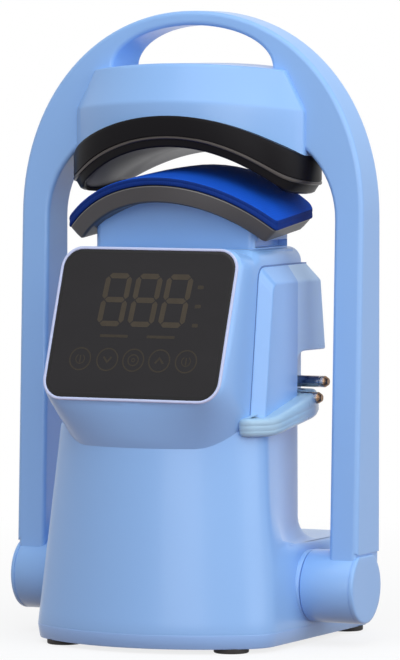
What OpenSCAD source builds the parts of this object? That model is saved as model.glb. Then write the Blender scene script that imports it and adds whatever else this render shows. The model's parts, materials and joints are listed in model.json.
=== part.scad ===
// Cap heat press: bowed base and column, rising cap form, swinging heated arm.
// Millimetres, +Z up, front towards -Y, origin on the ground under the middle of the footprint.

/* [Base] */
// Depth of the footprint, front to back
base_d = 208; // [196:1:250]
// Half width of the base at its sides
base_half_w = 92; // [90:1:115]
// How much narrower each side is at the front corners
front_narrow = 3; // [0:0.5:6]
// Height of the low platform behind the column
platform_z = 69; // [67:1:90]
// Height of the rubber feet
foot_h = 3; // [2:0.5:6]
// Radius of the rubber feet
foot_r = 12; // [8:0.5:13]
// Height of the bottom pan's rim
pan_h = 10; // [8:0.5:14]
// Thickness of the bottom pan's floor
pan_floor = 4; // [3:0.5:5]
// Wall of the plastic shells
wall = 2.5; // [2:0.1:3.5]
// How far the front centre stands out past the front corners
front_bow = 38; // [32:1:48]

/* [Column] */
// Height where the column meets the control housing
column_top_z = 152; // [140:1:170]
// Half width of the column's front corners at its top
column_front_half_w = 78; // [74:1:84]
// Half width of the column at its back
column_half_w = 67; // [66:1:76]
// How far the front centre leans back at the column's top
column_lean = 15; // [8:1:22]
// Back face of the column
column_rear_y = 35; // [34:1:48]

/* [Display] */
// Half width of the control housing
ctl_half_w = 70; // [69:1:76]
// Top of the control housing
ctl_top_z = 268; // [262:1:280]
// Width of the touch glass
glass_w = 129; // [110:1:134]
// Height of the touch glass along its slope
glass_h = 105; // [90:1:112]
// Thickness of the touch glass
glass_t = 3; // [2:0.5:4]
// Corner radius of the touch glass
glass_r = 13; // [8:1:20]
// Width of the pale rim round the glass
rim = 2; // [1:0.5:3]
// Backward slope of the glass
glass_tilt = 20; // [12:1:26]
// Height of the glass's middle
glass_z = 221; // [214:1:226]
// How far the glass's middle sits behind the front of the base
glass_back = 22; // [18:1:28]

/* [Cap form] */
// Radius of the platen's saddle
saddle_r = 120; // [110:1:145]
// Radius of the pad's top
form_r = 116; // [106:1:130]
// Height of the platen's underside at its middle
platen_apex_z = 340; // [336:1:350]
// Open gap between the pad and the platen at rest
press_gap = 15; // [14:1:24]
// How much of the gap stays at the top of the lift
closed_gap = 6; // [4:0.5:9]
// Rise of the cap form towards the back
form_tilt = 4; // [0:0.5:5]
// Rise of the platen towards the back
head_tilt = -2.5; // [-4:0.5:4]
// Half width of the pad
pad_half_w = 79; // [66:1:82]
// Front of the pad at its middle
pad_front_y = -58; // [-62:1:-46]
// How far the pad's front bows out past its corners
pad_bow = 22; // [16:1:30]
// Back of the pad
pad_rear_y = 36; // [34:1:46]
// Corner radius of the pad
pad_corner = 6; // [4:1:12]
// Thickness of the pad
pad_t = 6; // [4:0.5:8]
// Thickness of the form plate
plate_t = 12; // [7:0.5:14]
// Width of the neck
neck_w = 122; // [104:1:124]
// Depth of the neck
neck_d = 58; // [48:1:60]
// Front-to-back centre of the neck
neck_y = 0; // [-2:1:2]

/* [Arm] */
// Height of the hub axis
hub_z = 40; // [38:1:46]
// Front-to-back place of the hub axis
hub_y = 3; // [-5:1:10]
// Outer radius of the hubs
hub_r = 25; // [22:0.5:28]
// Length of each hub along the axis
hub_len = 36.4; // [32:0.2:44]
// Width of each leg, seen from the front
leg_w = 21.3; // [18:0.1:26]
// Top of the arch
arch_top_z = 433; // [428:1:460]
// Height where the legs turn into the arch
arch_spring_z = 292; // [286:1:300]
// Front of the legs at the hub axis
arch_front_y = -13.6; // [-18:0.2:-4]
// Back of the arch
arch_rear_y = 27; // [24:1:32]
// Backward lean of the arch's front face
arch_lean = 2; // [0:0.1:2.4]
// Squareness of the arch's shoulders, 2 for an ellipse
arch_full = 2.1; // [2:0.05:2.4]
// Corner radius of the opening between the legs
opening_r = 62; // [50:1:70]
// Half width of the carrying hole
handle_half_w = 60.5; // [50:0.5:70]
// Height of the carrying hole
handle_h = 29; // [24:1:32]
// Bottom of the carrying hole
handle_z = 394; // [392:1:398]
// Radius of the hub axles
axle_r = 8; // [6:0.5:9]

/* [Head] */
// Half width of the head
head_half_w = 88; // [82:1:92]
// Half depth of the head
head_half_d = 46; // [42:1:56]
// Front-to-back centre of the head
head_y = 8; // [6:1:16]
// Height of the crease round the head
crease_z = 368; // [366:1:374]
// Top of the head
head_top_z = 396; // [390:1:402]
// How far the head draws in from the crease to the top, sideways
top_in_w = 15; // [6:1:18]
// How far the head draws in from the crease to the top, front to back
top_in_d = 14; // [8:1:20]
// Height of the black skirt
skirt_h = 21.3; // [16:0.1:24]
// How far the skirt stands proud of the head
skirt_proud = 2; // [1:0.5:3]
// Wall of the skirt
skirt_wall = 6; // [4:0.5:8]
// Thickness of the hot platen
platen_t = 8; // [6:0.5:9]

/* [Strap hook] */
// How far the hook's panel stands out from the housing
hook_out = 15; // [11:1:17]
// Height of the underside of the hood
hood_z = 200; // [196:1:206]
// Front of the notch under the hood
notch_y = 3; // [0:1:6]
// Radius of the strap posts
post_r = 4; // [3:0.5:5]
// How far the posts stand out from the housing
post_out = 23; // [18:1:26]
// Rise of the ledge towards the back
ledge_rise = 9; // [6:1:10]

/* [Lift] */
// Radius of the lead screw
screw_r = 6; // [4:0.5:7]
// Radius of the guide rods
rod_r = 5; // [4:0.5:6]
// Distance from each side of the neck to its guide rod
rod_inset = 21; // [18:1:27]
// Radius of the lift motor
motor_r = 22; // [18:1:26]

/* [Hidden] */
$fn = 64;
hull_fn = 32;
// Gap between pieces that are assembled, and radial gap of running fits
fit = 0.2;
run = 0.05;
big = 600;
thin = 0.1;

base_front_y = -base_d / 2;
base_front_half_w = base_half_w - front_narrow;
glass_y = base_front_y + glass_back;
rod_side = neck_w / 2 - rod_inset;
inlet_flange = 2;
base_rear_y = base_d / 2 - inlet_flange;
pan_z = foot_h + pan_h;
floor_z = foot_h + pan_floor;
// A shell's front corner at any height lies on the line from the pan to the column's top
lean_per_mm = column_lean / (column_top_z - pan_z);
narrow_per_mm = (base_front_half_w - column_front_half_w) / (column_top_z - pan_z);

boss_proud = 1.2;
boss_r = hub_r;
hub_in = base_half_w + boss_proud + 0.4;
arm_half_w = hub_in + hub_len;
cap_t = 3;
cap_flat_z = hub_z + 22;
leg_solid_z = hub_z + hub_r + 3;
leg_x = arm_half_w - leg_w / 2;
open_half_w = arm_half_w - leg_w;
open_spring_z = arch_spring_z - 2;
bay_half_w = head_half_w - 9;
bay_top_z = crease_z + 6;

saddle_axis_z = platen_apex_z - saddle_r;
// Height of each curved surface's axis under the head's centre, and its rise towards the back
head_axis = [saddle_axis_z, head_tilt];
form_axis = [platen_apex_z - press_gap - form_r, form_tilt];
lift_travel = press_gap - closed_gap;
plate_r = form_r - pad_t - fit;
// The plate's ends are cut square to its curve, just inside the pad's ends
plate_angle = asin((pad_half_w - 1.5) / plate_r);
neck_r = plate_r - plate_t - fit;
skirt_r = saddle_r - 2;
skirt_top_r = skirt_r + skirt_h;
heater_t = 4;
heater_r = saddle_r + platen_t + fit;
blanket_r = heater_r + heater_t + fit;
blanket_t = 7;
head_plate_t = 3;
head_plate_z = crease_z - 1;
head_exp = 2.4;

neck_r_corner = 6;
neck_bottom_z = ctl_top_z - 48;
carriage_z = neck_bottom_z + 1;
carriage_t = 6;
lift_plate_z = column_top_z - 56;
lift_plate_t = 4;
rod_top_z = carriage_z + carriage_t + lift_travel + 26;
screw_top_z = carriage_z + carriage_t + lift_travel + 14;
motor_top_z = lift_plate_z - 28;
bush_wall = 3;
bearing_r = screw_r + 7;
frame_leg_x = 56;

hook_x = ctl_half_w + fit;
hook_face_x = ctl_half_w + hook_out;
hood_proud = 7;
hook_top_z = ctl_top_z - 9;
hook_seam_y = -57;
hook_seam_lean = 15;
notch_r = 8;
ledge_pivot_y = -20;
post_upper = [23, 178.5];
post_lower = [12, 168];
ledge_t = 13;
ledge_up = 5;
board_t = 1.6;
board_gap = 14;

bracket_x = base_half_w - 14;
bracket_t = 6;
axle_in_x = bracket_x - bracket_t - 4;
bush_r = axle_r + 3;
nut_x = arm_half_w - cap_t - 9;
nut_t = 4;

inlet_x = -42;
switch_x = 42;
rear_panel_z = 40;
inlet_w = 28;
inlet_h = 20;
switch_w = 22;
switch_h = 28;
rocker_w = 13;
rocker_h = 20;
rocker_rest = 8;
rocker_pin_r = 1.5;

screw_shank_r = 2;
screw_head_r = 4;
back_screws = [[leg_x, 95], [leg_x, 180], [leg_x, 265], [bay_half_w - 12, bay_top_z + 10]];
foot_spots = [[base_front_half_w - 26, base_front_y + 33], [base_half_w - 14, base_rear_y - 15]];
bracket_spots = [hub_y - 15, hub_y + 15];
bracket_screw_x = bracket_x - bracket_t - 7;
frame_screw_x = frame_leg_x - 9;
screw_head_h = 1.6;

// Lower edges of the shells
base_corner = 12;
column_corner = 10;
platform_round = 3;
column_step = 0.15;
column_low_z = platform_z - platform_round - 1;
pan_inset = 3;
pan_lip = 1;

// Opening in the column's back and its cover
service_half_w = 46;
service_low_z = platform_z + 10;
service_high_z = ctl_top_z - 26;
vent_n = 8;
vent_w = 48;
vent_h = 3;
vent_pitch = 8;

// Control housing and what sits behind the glass
face_back = glass_t + 1;
ctl_mid_y = -40;
shoulder = 7;
chin_r = 15;
neck_gap = 0.6;
window_edge = 6;
digit_pitch = 23;
digit_y = glass_h / 2 - 30.5;
digit_t = 0.6;
touch_pitch = 20;
touch_y = 24.5 - glass_h / 2;

shaft_r = 4;
sheet_t = 3;
back_t = 3;
frame_y = arch_rear_y - back_t - 8;
head_low_z = platen_apex_z - 60;

shell_blue = [0.53, 0.68, 0.93];
band_blue = [0.47, 0.60, 0.87];
pad_blue = [0.06, 0.20, 0.66];
dark_grey = [0.27, 0.27, 0.28];
black = [0.09, 0.09, 0.10];
steel = [0.72, 0.73, 0.75];

// Outline of a squared oval round the head's centre
function oval_points(a, b, n = 72) = [
    for (i = [0 : n - 1])
        let (c = cos(360 * i / n), s = sin(360 * i / n), e = 2 / head_exp)
        [a * sign(c) * pow(abs(c), e), head_y + b * sign(s) * pow(abs(s), e)]
];

function head_points(inset) = oval_points(head_half_w - inset, head_half_d - inset);

// Upper half of an oval: an ellipse where full is 2, squarer above that
function half_oval_points(a, b, full = 2, n = 60) = [
    for (i = [0 : n])
        let (c = cos(180 * i / n), s = sin(180 * i / n), e = 2 / full)
        [a * sign(c) * pow(abs(c), e), b * pow(abs(s), e)]
];

// Arc through both front corners and the front centre
function bow_points(w, front, bow, n = 24) =
    let (r = (w * w + bow * bow) / (2 * bow), half = asin(w / r))
    [for (i = [0 : n]) let (a = -half + 2 * half * i / n) [r * sin(a), front + r - r * cos(a)]];

// Direction that an edge of a counter-clockwise outline faces
function facing(a, b) = atan2(b.y - a.y, b.x - a.x) - 90;

// Convex outline grown outwards by r, with round corners
function grown_points(pts, r) = [
    for (i = [0 : len(pts) - 1])
        let (before = pts[(i + len(pts) - 1) % len(pts)], after = pts[(i + 1) % len(pts)])
        let (start = facing(before, pts[i]), turn = (facing(pts[i], after) - start + 720) % 360)
        let (steps = max(1, ceil(turn / 12)))
        for (k = [0 : steps])
            pts[i] + r * [cos(start + turn * k / steps), sin(start + turn * k / steps)]
];

// Outline of the pad seen from above: bowed front, straight back
function pad_points(inset) =
    let (w = pad_half_w - pad_corner, front = pad_front_y + pad_corner, back = pad_rear_y - pad_corner)
    grown_points(concat(bow_points(w, front, pad_bow), [[w - 2, back], [2 - w, back]]), pad_corner - inset);

module both_sides() {
    for (side = [0, 1])
        mirror([side, 0, 0])
            children();
}

// Cylinder along X from x0 to x1
module rod_x(x0, x1, r) {
    translate([x0, 0, 0])
        rotate([0, 90, 0])
            cylinder(h = x1 - x0, r = r);
}

module at_hub() {
    translate([0, hub_y, hub_z])
        children();
}

module rounded_rect(w, d, r) {
    square([w, d - 2 * r], center = true);
    square([w - 2 * r, d], center = true);
    for (x = [-1, 1], y = [-1, 1])
        translate([x * (w / 2 - r), y * (d / 2 - r)])
            circle(r = r);
}

// Thin slab with a bowed front, straight sides and a flat back
module bowed_slab(z, w, front, rear_w, rear, corner, inset) {
    translate([0, 0, z])
        linear_extrude(thin)
            offset(delta = -inset)
                offset(r = corner, $fn = hull_fn)
                    offset(delta = -corner)
                        polygon(concat(bow_points(w, front, front_bow), [[rear_w, rear], [-rear_w, rear]]));
}

function front_at(z) = base_front_y + lean_per_mm * (z - pan_z);
function front_w_at(z) = base_front_half_w - narrow_per_mm * (z - pan_z);

module base_slab(z, inset) {
    bowed_slab(z, front_w_at(z), front_at(z), base_half_w, base_rear_y, base_corner, inset);
}

module column_slab(z, inset) {
    bowed_slab(z, front_w_at(z), front_at(z), column_half_w, column_rear_y, column_corner, inset);
}

module column_block(z0, z1, inset) {
    hull() {
        column_slab(z0, inset);
        column_slab(z1 - thin, inset);
    }
}

module base_pan() color(band_blue) {
    difference() {
        hull() {
            base_slab(foot_h, pan_inset);
            base_slab(pan_z - fit - thin, pan_lip);
        }
        hull() {
            base_slab(floor_z, pan_inset + wall);
            base_slab(pan_z + 1, pan_lip + wall);
        }
        pan_screw_spots()
            pan_screw_hole();
    }
}

module pan_screw_hole() {
    translate([0, 0, foot_h - 1])
        cylinder(h = pan_floor + 2, r = screw_shank_r + fit);
    translate([0, 0, foot_h - 1])
        cylinder(h = 3, r = screw_head_r + fit);
}

module pan_screw_spots() {
    both_sides()
        for (y = bracket_spots)
            translate([bracket_screw_x, y, 0])
                children();
    both_sides()
        translate([frame_screw_x, neck_y, 0])
            children();
}

module base_feet() color(black) {
    both_sides()
        for (p = foot_spots)
            translate([p.x, p.y, 0])
                cylinder(h = foot_h, r = foot_r);
}

module base_screws() color(steel) {
    pan_screw_spots() {
        translate([0, 0, foot_h])
            cylinder(h = 2, r = screw_head_r);
        translate([0, 0, foot_h])
            cylinder(h = pan_floor + 3, r = screw_shank_r);
    }
}

module base_shell() color(shell_blue) {
    difference() {
        union() {
            hull() {
                base_slab(pan_z, 0);
                base_slab(platform_z - platform_round, 0);
                base_slab(platform_z - thin, platform_round);
            }
            column_block(column_low_z, column_top_z, -column_step);
            both_sides()
                at_hub()
                    rod_x(bracket_x + fit, base_half_w + boss_proud, boss_r);
        }
        hull() {
            base_slab(pan_z - 1, wall);
            base_slab(platform_z - wall - thin, wall);
        }
        column_block(pan_z + 1, column_top_z - wall, wall + column_step);
        translate([wall - ctl_half_w, ctl_mid_y, platform_z])
            cube([2 * (ctl_half_w - wall), column_rear_y - ctl_mid_y - 2 * wall, big]);
        translate([-big / 2, -big / 2, pan_z - big])
            cube([big, big, big]);
        both_sides()
            at_hub()
                rod_x(0, bracket_x + fit, boss_r + 3);
        both_sides()
            at_hub()
                rod_x(0, arm_half_w, axle_r + fit);
        rear_service_hole(column_top_z);
        translate([inlet_x, base_rear_y, rear_panel_z])
            cube([inlet_w + 2 * fit, 12, inlet_h + 2 * fit], center = true);
        translate([switch_x, base_rear_y, rear_panel_z])
            cube([switch_w + 2 * fit, 12, switch_h + 2 * fit], center = true);
    }
}

module rear_service_hole(top_z) {
    translate([-service_half_w, column_rear_y - 8, service_low_z])
        cube([2 * service_half_w, 20, min(service_high_z, top_z + 1) - service_low_z]);
}

module rear_cover() color(shell_blue) {
    difference() {
        translate([-service_half_w + fit, column_rear_y - wall, service_low_z + fit])
            cube([2 * (service_half_w - fit), wall, service_high_z - service_low_z - 2 * fit]);
        for (i = [0 : vent_n - 1])
            translate([-vent_w / 2, column_rear_y - wall - 1, service_low_z + 30 + i * vent_pitch])
                cube([vent_w, wall + 2, vent_h]);
        rear_screw_spots()
            rotate([90, 0, 0])
                cylinder(h = 3 * wall, r = screw_shank_r + fit, center = true);
    }
}

module rear_screw_spots() {
    both_sides()
        for (z = [service_low_z + 10, service_high_z - 10])
            translate([service_half_w - 8, column_rear_y, z])
                children();
}

module rear_screws() color(steel) {
    rear_screw_spots()
        rotate([90, 0, 0]) {
            translate([0, 0, -screw_head_h])
                cylinder(h = screw_head_h, r = screw_head_r);
            cylinder(h = wall + 2, r = screw_shank_r);
        }
}

module at_display() {
    translate([0, glass_y, glass_z])
        rotate([90 - glass_tilt, 0, 0])
            children();
}

// Convex block of the control housing: slanted front, square back, chin and rounded shoulders
module control_block(inset) {
    hull() {
        at_display()
            translate([0, 0, -face_back - thin - inset])
                linear_extrude(thin)
                    offset(r = glass_r, $fn = hull_fn)
                        square([
                            glass_w + 2 * (rim - glass_r - inset),
                            glass_h + 2 * (rim - glass_r - inset)
                        ], center = true);
        for (level = [[column_top_z, 0], [ctl_top_z - shoulder, 0], [ctl_top_z - thin - inset, shoulder]])
            translate([-ctl_half_w + level[1] + inset, ctl_mid_y, level[0]])
                cube([2 * (ctl_half_w - level[1] - inset), column_rear_y - ctl_mid_y - inset, thin]);
        for (x = [-1, 1])
            translate([x * (ctl_half_w - chin_r - 5), front_at(column_top_z) + chin_r + inset, 0])
                translate([0, 0, column_top_z - chin_r])
                    cylinder(h = thin, r = chin_r, $fn = hull_fn);
    }
}

module control_housing() color(shell_blue) {
    difference() {
        control_block(0);
        control_block(wall);
        column_block(pan_z, column_top_z + fit, -column_step - fit);
        translate([-big / 2, ctl_mid_y, 0])
            cube([big, big, column_top_z + fit]);
        translate([0, neck_y, ctl_top_z - 20])
            linear_extrude(40)
                rounded_rect(neck_w + 2 * neck_gap, neck_d + 2 * neck_gap, neck_r_corner + neck_gap);
        at_display()
            translate([0, 0, -40])
                linear_extrude(60)
                    square([glass_w - 2 * window_edge, glass_h - 2 * window_edge], center = true);
        rear_service_hole(ctl_top_z);
        for (p = [post_upper, post_lower])
            translate([0, p[0], p[1]])
                rod_x(0, big / 4, post_r + run);
    }
}

module display_bezel() color([0.80, 0.86, 0.96]) {
    at_display()
        translate([0, 0, -face_back + fit])
            linear_extrude(face_back - fit + 0.5)
                difference() {
                    rounded_rect(glass_w + 2 * rim, glass_h + 2 * rim, glass_r + rim);
                    rounded_rect(glass_w + 2 * fit, glass_h + 2 * fit, glass_r + fit);
                }
}

module touch_glass() color([0.06, 0.06, 0.07]) {
    at_display()
        translate([0, 0, -glass_t])
            linear_extrude(glass_t)
                rounded_rect(glass_w, glass_h, glass_r);
}

// Seven bars of one digit, drawn upright
module digit() {
    bar = 2.2;
    wide = 15;
    high = 28;
    for (y = [-1, 0, 1])
        translate([0, y * high / 2])
            square([wide - 2 * bar, bar], center = true);
    for (x = [-1, 1], y = [-1, 1])
        translate([x * wide / 2, y * high / 4])
            square([bar, high / 2 - 2 * bar], center = true);
}

module led_display() color([0.30, 0.27, 0.22]) {
    at_display()
        translate([0, digit_y, -glass_t - board_gap])
            linear_extrude(board_gap - fit - digit_t)
                square([3 * digit_pitch, 36], center = true);
    at_display()
        translate([0, digit_y, -glass_t - fit - digit_t - thin])
            linear_extrude(digit_t + thin)
                for (i = [-1, 0, 1])
                    translate([i * digit_pitch, 0])
                        digit();
}

module touch_springs() color([0.78, 0.66, 0.38]) {
    at_display()
        for (i = [-2 : 2])
            translate([i * touch_pitch, touch_y, -glass_t - board_gap])
                cylinder(h = board_gap - fit, r = 4);
}

module display_board() color([0.10, 0.35, 0.20]) {
    at_display()
        translate([0, 0, -glass_t - board_gap - board_t])
            linear_extrude(board_t)
                square([glass_w - 2 * window_edge - 1, glass_h - 2 * window_edge - 1], center = true);
}

// Side view outline of the hook's panel, front edge parallel to the housing's slope
module hook_panel(x, inset, chamfer) {
    low_z = column_top_z + 4;
    top_z = hook_top_z - chamfer - inset;
    front = [hook_seam_y + chamfer + inset, hook_seam_y + chamfer + inset + hook_seam_lean];
    translate([x, 0, 0])
        rotate([90, 0, 90])
            linear_extrude(thin)
                polygon([
                    [front[0], low_z], [notch_y - inset, low_z],
                    [notch_y - inset, top_z], [front[1], top_z]
                ]);
}

// Side view outline of the hood over the notch
module hook_hood(x, chamfer, drop) {
    back = column_rear_y - 2;
    front = notch_y - wall;
    top_z = hook_top_z - chamfer;
    translate([x, 0, 0])
        rotate([90, 0, 90])
            linear_extrude(thin)
                polygon([[front, hood_z], [back, hood_z - drop], [back - chamfer, top_z], [front, top_z]]);
}

// Chamfered panel in front, hood behind, open notch under the hood
module hook_housing() color(shell_blue) {
    chamfer = 7;
    panel_x = hook_face_x - hood_proud;
    difference() {
        union() {
            hull() {
                hook_panel(hook_x, 0, 0);
                hook_panel(panel_x, 0, chamfer);
            }
            hull() {
                hook_hood(hook_x, 0, 0);
                hook_hood(hook_face_x, chamfer + 3, 3);
            }
            translate([hook_x, notch_y - 1, hood_z - notch_r])
                cube([panel_x - hook_x, notch_r + 1, notch_r + 1]);
        }
        hull() {
            hook_panel(hook_x - 1, wall, 0);
            hook_panel(panel_x - wall, wall, chamfer);
        }
        translate([0, notch_y + notch_r, hood_z - notch_r])
            rod_x(0, big / 4, notch_r);
    }
}

// Lip under the hook, rising towards the back
module hook_ledge() color(shell_blue) {
    out_x = hook_face_x + 1;
    difference() {
        translate([0, ledge_pivot_y, column_top_z + 6])
            rotate([ledge_rise, 0, 0])
                translate([0, -ledge_pivot_y, ledge_up - ledge_t])
                    linear_extrude(ledge_t)
                        polygon(grown_points([
                            [hook_x + 4, hook_seam_y - 8],
                            [out_x - 6, hook_seam_y + 5],
                            [out_x - 4, hook_seam_y + 12],
                            [out_x - 4, 21],
                            [hook_x + 4, 24]
                        ], 4));
        column_block(pan_z, column_top_z + fit, -column_step - fit);
        control_block(-fit);
        hull() {
            hook_panel(hook_x - 1, -fit, 0);
            hook_panel(hook_face_x, -fit, 0);
        }
        translate([0, post_lower[0], post_lower[1]])
            rod_x(0, big / 4, post_r + 1);
    }
}

module strap_posts() color([0.80, 0.79, 0.77]) {
    tip = 3;
    for (p = [post_upper, post_lower])
        translate([0, p[0], p[1]]) {
            rod_x(ctl_half_w - wall - 4, ctl_half_w + post_out - tip, post_r);
            rod_x(ctl_half_w - wall - 4, ctl_half_w - wall - fit, post_r + 1);
            translate([ctl_half_w + post_out - tip, 0, 0])
                rotate([0, 90, 0])
                    cylinder(h = tip, r1 = post_r, r2 = post_r - 1.6);
        }
}

module axle_brackets() color(steel) {
    both_sides()
        difference() {
            union() {
                translate([bracket_x - bracket_t, hub_y - 24, floor_z])
                    cube([bracket_t, 48, hub_z + 20 - floor_z]);
                translate([frame_leg_x, hub_y - 24, floor_z])
                    cube([bracket_x - bracket_t - frame_leg_x, 48, sheet_t]);
            }
            at_hub()
                rod_x(0, big / 4, axle_r + run);
            for (y = bracket_spots)
                translate([bracket_screw_x, y, floor_z - 1])
                    cylinder(h = 6, r = screw_shank_r + run);
        }
}

module hub_axles() color([0.62, 0.63, 0.65]) {
    both_sides()
        at_hub() {
            rod_x(axle_in_x, nut_x + nut_t + 1, axle_r);
            rod_x(axle_in_x - 4, axle_in_x + 4 - fit, axle_r + 4);
        }
}

module lift_frame() color(steel) {
    depth = 40;
    difference() {
        union() {
            translate([-frame_leg_x, neck_y - depth / 2, lift_plate_z])
                cube([2 * frame_leg_x, depth, lift_plate_t]);
            both_sides() {
                translate([frame_leg_x - sheet_t, neck_y - depth / 2, floor_z])
                    cube([sheet_t, depth, lift_plate_z - floor_z + 1]);
                translate([frame_leg_x - 16, neck_y - depth / 2, floor_z])
                    cube([16, depth, sheet_t]);
            }
        }
        both_sides()
            translate([rod_side, neck_y, lift_plate_z - 1])
                cylinder(h = lift_plate_t + 2, r = rod_r + run);
        translate([0, neck_y, lift_plate_z - 1])
            cylinder(h = lift_plate_t + 2, r = bearing_r + run);
        both_sides()
            translate([frame_screw_x, neck_y, floor_z - 1])
                cylinder(h = 6, r = screw_shank_r + run);
    }
}

module guide_rods() color([0.78, 0.79, 0.81]) {
    both_sides()
        translate([rod_side, neck_y, lift_plate_z])
            cylinder(h = rod_top_z - lift_plate_z, r = rod_r);
}

module screw_bearing() color([0.66, 0.67, 0.70]) {
    translate([0, neck_y, lift_plate_z])
        difference() {
            cylinder(h = lift_plate_t + 3, r = bearing_r);
            translate([0, 0, -1])
                cylinder(h = lift_plate_t + 5, r = screw_r + run);
        }
}

module lift_motor() color([0.20, 0.20, 0.22]) {
    translate([0, neck_y, 0])
        difference() {
            union() {
                translate([0, 0, floor_z])
                    cylinder(h = motor_top_z - floor_z, r = motor_r);
                translate([0, 0, floor_z])
                    cylinder(h = 3, r = motor_r + 5);
            }
            translate([0, 0, motor_top_z - 14])
                cylinder(h = 20, r = shaft_r + run);
        }
}

module motor_shaft() color([0.75, 0.76, 0.78]) {
    translate([0, neck_y, motor_top_z - 12])
        cylinder(h = 22, r = shaft_r);
}

module screw_coupler() color([0.55, 0.57, 0.60]) {
    translate([0, neck_y, motor_top_z + 1.5])
        difference() {
            cylinder(h = 22, r = screw_r + 4);
            translate([0, 0, -1])
                cylinder(h = 10, r = shaft_r + run);
            translate([0, 0, 9])
                cylinder(h = 20, r = screw_r + run);
        }
}

module lead_screw() color([0.70, 0.71, 0.73]) {
    translate([0, neck_y, motor_top_z + 11])
        cylinder(h = screw_top_z - motor_top_z - 11, r = screw_r);
}

module power_board() color([0.10, 0.35, 0.20]) {
    translate([-60, hub_y + 40, floor_z + 6])
        cube([120, base_rear_y - hub_y - 40 - 32, board_t]);
    both_sides()
        for (y = [hub_y + 45, base_rear_y - 37])
            translate([52, y, floor_z])
                cylinder(h = 6, r = 3);
}

module board_parts() color([0.16, 0.16, 0.18]) {
    z = floor_z + 6 + board_t;
    translate([-48, hub_y + 43, z])
        cube([30, 15, 22]);
    translate([-10, hub_y + 43, z])
        cube([18, 13, 14]);
    for (i = [0 : 2])
        translate([22 + i * 12, hub_y + 51, z])
            cylinder(h = 18, r = 5);
}

module power_inlet() color(black) {
    translate([inlet_x, base_rear_y, rear_panel_z])
        difference() {
            union() {
                translate([-inlet_w / 2, -22, -inlet_h / 2])
                    cube([inlet_w, 22 + inlet_flange / 2, inlet_h]);
                translate([-inlet_w / 2 - 3, 0, -inlet_h / 2 - 3])
                    cube([inlet_w + 6, inlet_flange, inlet_h + 6]);
            }
            translate([-inlet_w / 2 + 2, -15, -inlet_h / 2 + 2])
                cube([inlet_w - 4, 30, inlet_h - 4]);
        }
    translate([inlet_x, base_rear_y - 15, rear_panel_z])
        for (pin = [[-7, -1.5], [0, 2.5], [7, -1.5]])
            translate([pin.x - 1, -1, pin.y - 2])
                cube([2, 13, 4]);
}

module switch_frame() color(black) {
    translate([switch_x, base_rear_y, rear_panel_z])
        difference() {
            union() {
                translate([-switch_w / 2, -16, -switch_h / 2])
                    cube([switch_w, 16 + inlet_flange / 2, switch_h]);
                translate([-switch_w / 2 - 2, 0, -switch_h / 2 - 2])
                    cube([switch_w + 4, inlet_flange, switch_h + 4]);
            }
            translate([-rocker_w / 2 - 0.4, -13, -rocker_h / 2 - 1])
                cube([rocker_w + 0.8, 20, rocker_h + 2]);
            translate([0, -4, 0])
                rod_x(-rocker_w, rocker_w, rocker_pin_r + run);
        }
}

module power_rocker() color([0.13, 0.13, 0.14]) {
    half = rocker_h / 2;
    translate([switch_x, base_rear_y - 4, rear_panel_z])
        rotate([-rocker_rest, 0, 0]) {
            translate([-rocker_w / 2, 0, 0])
                rotate([90, 0, 90])
                    linear_extrude(rocker_w)
                        polygon([
                            [4.2, half - 1], [2.6, 0], [4.2, 1 - half],
                            [-3, 1 - half], [-5, 0], [-3, half - 1]
                        ]);
            rod_x(-rocker_w / 2 - 2, rocker_w / 2 + 2, rocker_pin_r);
        }
}

module carriage() color(steel) {
    inner_w = neck_w - 2 * wall - 2 * fit;
    inner_d = neck_d - 2 * wall - 2 * fit;
    translate([0, neck_y, carriage_z])
        difference() {
            linear_extrude(carriage_t)
                rounded_rect(inner_w, inner_d, neck_r_corner - wall);
            both_sides()
                translate([rod_side, 0, -1])
                    cylinder(h = carriage_t + 2, r = rod_r + bush_wall + run);
            translate([0, 0, -1])
                cylinder(h = carriage_t + 2, r = screw_r + 5 + run);
        }
}

module lift_nut() color([0.76, 0.60, 0.30]) {
    translate([0, neck_y, carriage_z])
        difference() {
            union() {
                translate([0, 0, -6])
                    cylinder(h = carriage_t + 6, r = screw_r + 5);
                translate([0, 0, carriage_t])
                    cylinder(h = 4, r = screw_r + 10);
            }
            translate([0, 0, -7])
                cylinder(h = 30, r = screw_r + run);
        }
}

module guide_bushes() color([0.74, 0.58, 0.32]) {
    both_sides()
        translate([rod_side, neck_y, carriage_z])
            difference() {
                union() {
                    translate([0, 0, -10])
                        cylinder(h = carriage_t + 10, r = rod_r + bush_wall);
                    translate([0, 0, carriage_t])
                        cylinder(h = 3, r = rod_r + bush_wall + 2);
                }
                translate([0, 0, -11])
                    cylinder(h = 30, r = rod_r + run);
            }
}

// Long cylinder along a curved surface's axis
module saddle_rod(r, axis) {
    translate([0, head_y, axis[0]])
        rotate([axis[1] - 90, 0, 0])
            cylinder(h = big, r = r, center = true, $fn = 128);
}

// Curved layer between two radii, cut to an outline seen from above
module saddle_layer(r0, r1, axis, outline) {
    difference() {
        intersection() {
            translate([0, 0, axis[0]])
                linear_extrude(r1 + 10)
                    polygon(outline);
            saddle_rod(r1, axis);
        }
        saddle_rod(r0, axis);
    }
}

// Wedge about a curved surface's axis, open to angle on both sides of upright
module saddle_wedge(angle, axis) {
    translate([0, head_y, axis[0]])
        rotate([90 + axis[1], 0, 0])
            linear_extrude(big, center = true)
                polygon([[0, 0], big * [sin(angle), cos(angle)], big * [-sin(angle), cos(angle)]]);
}

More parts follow.
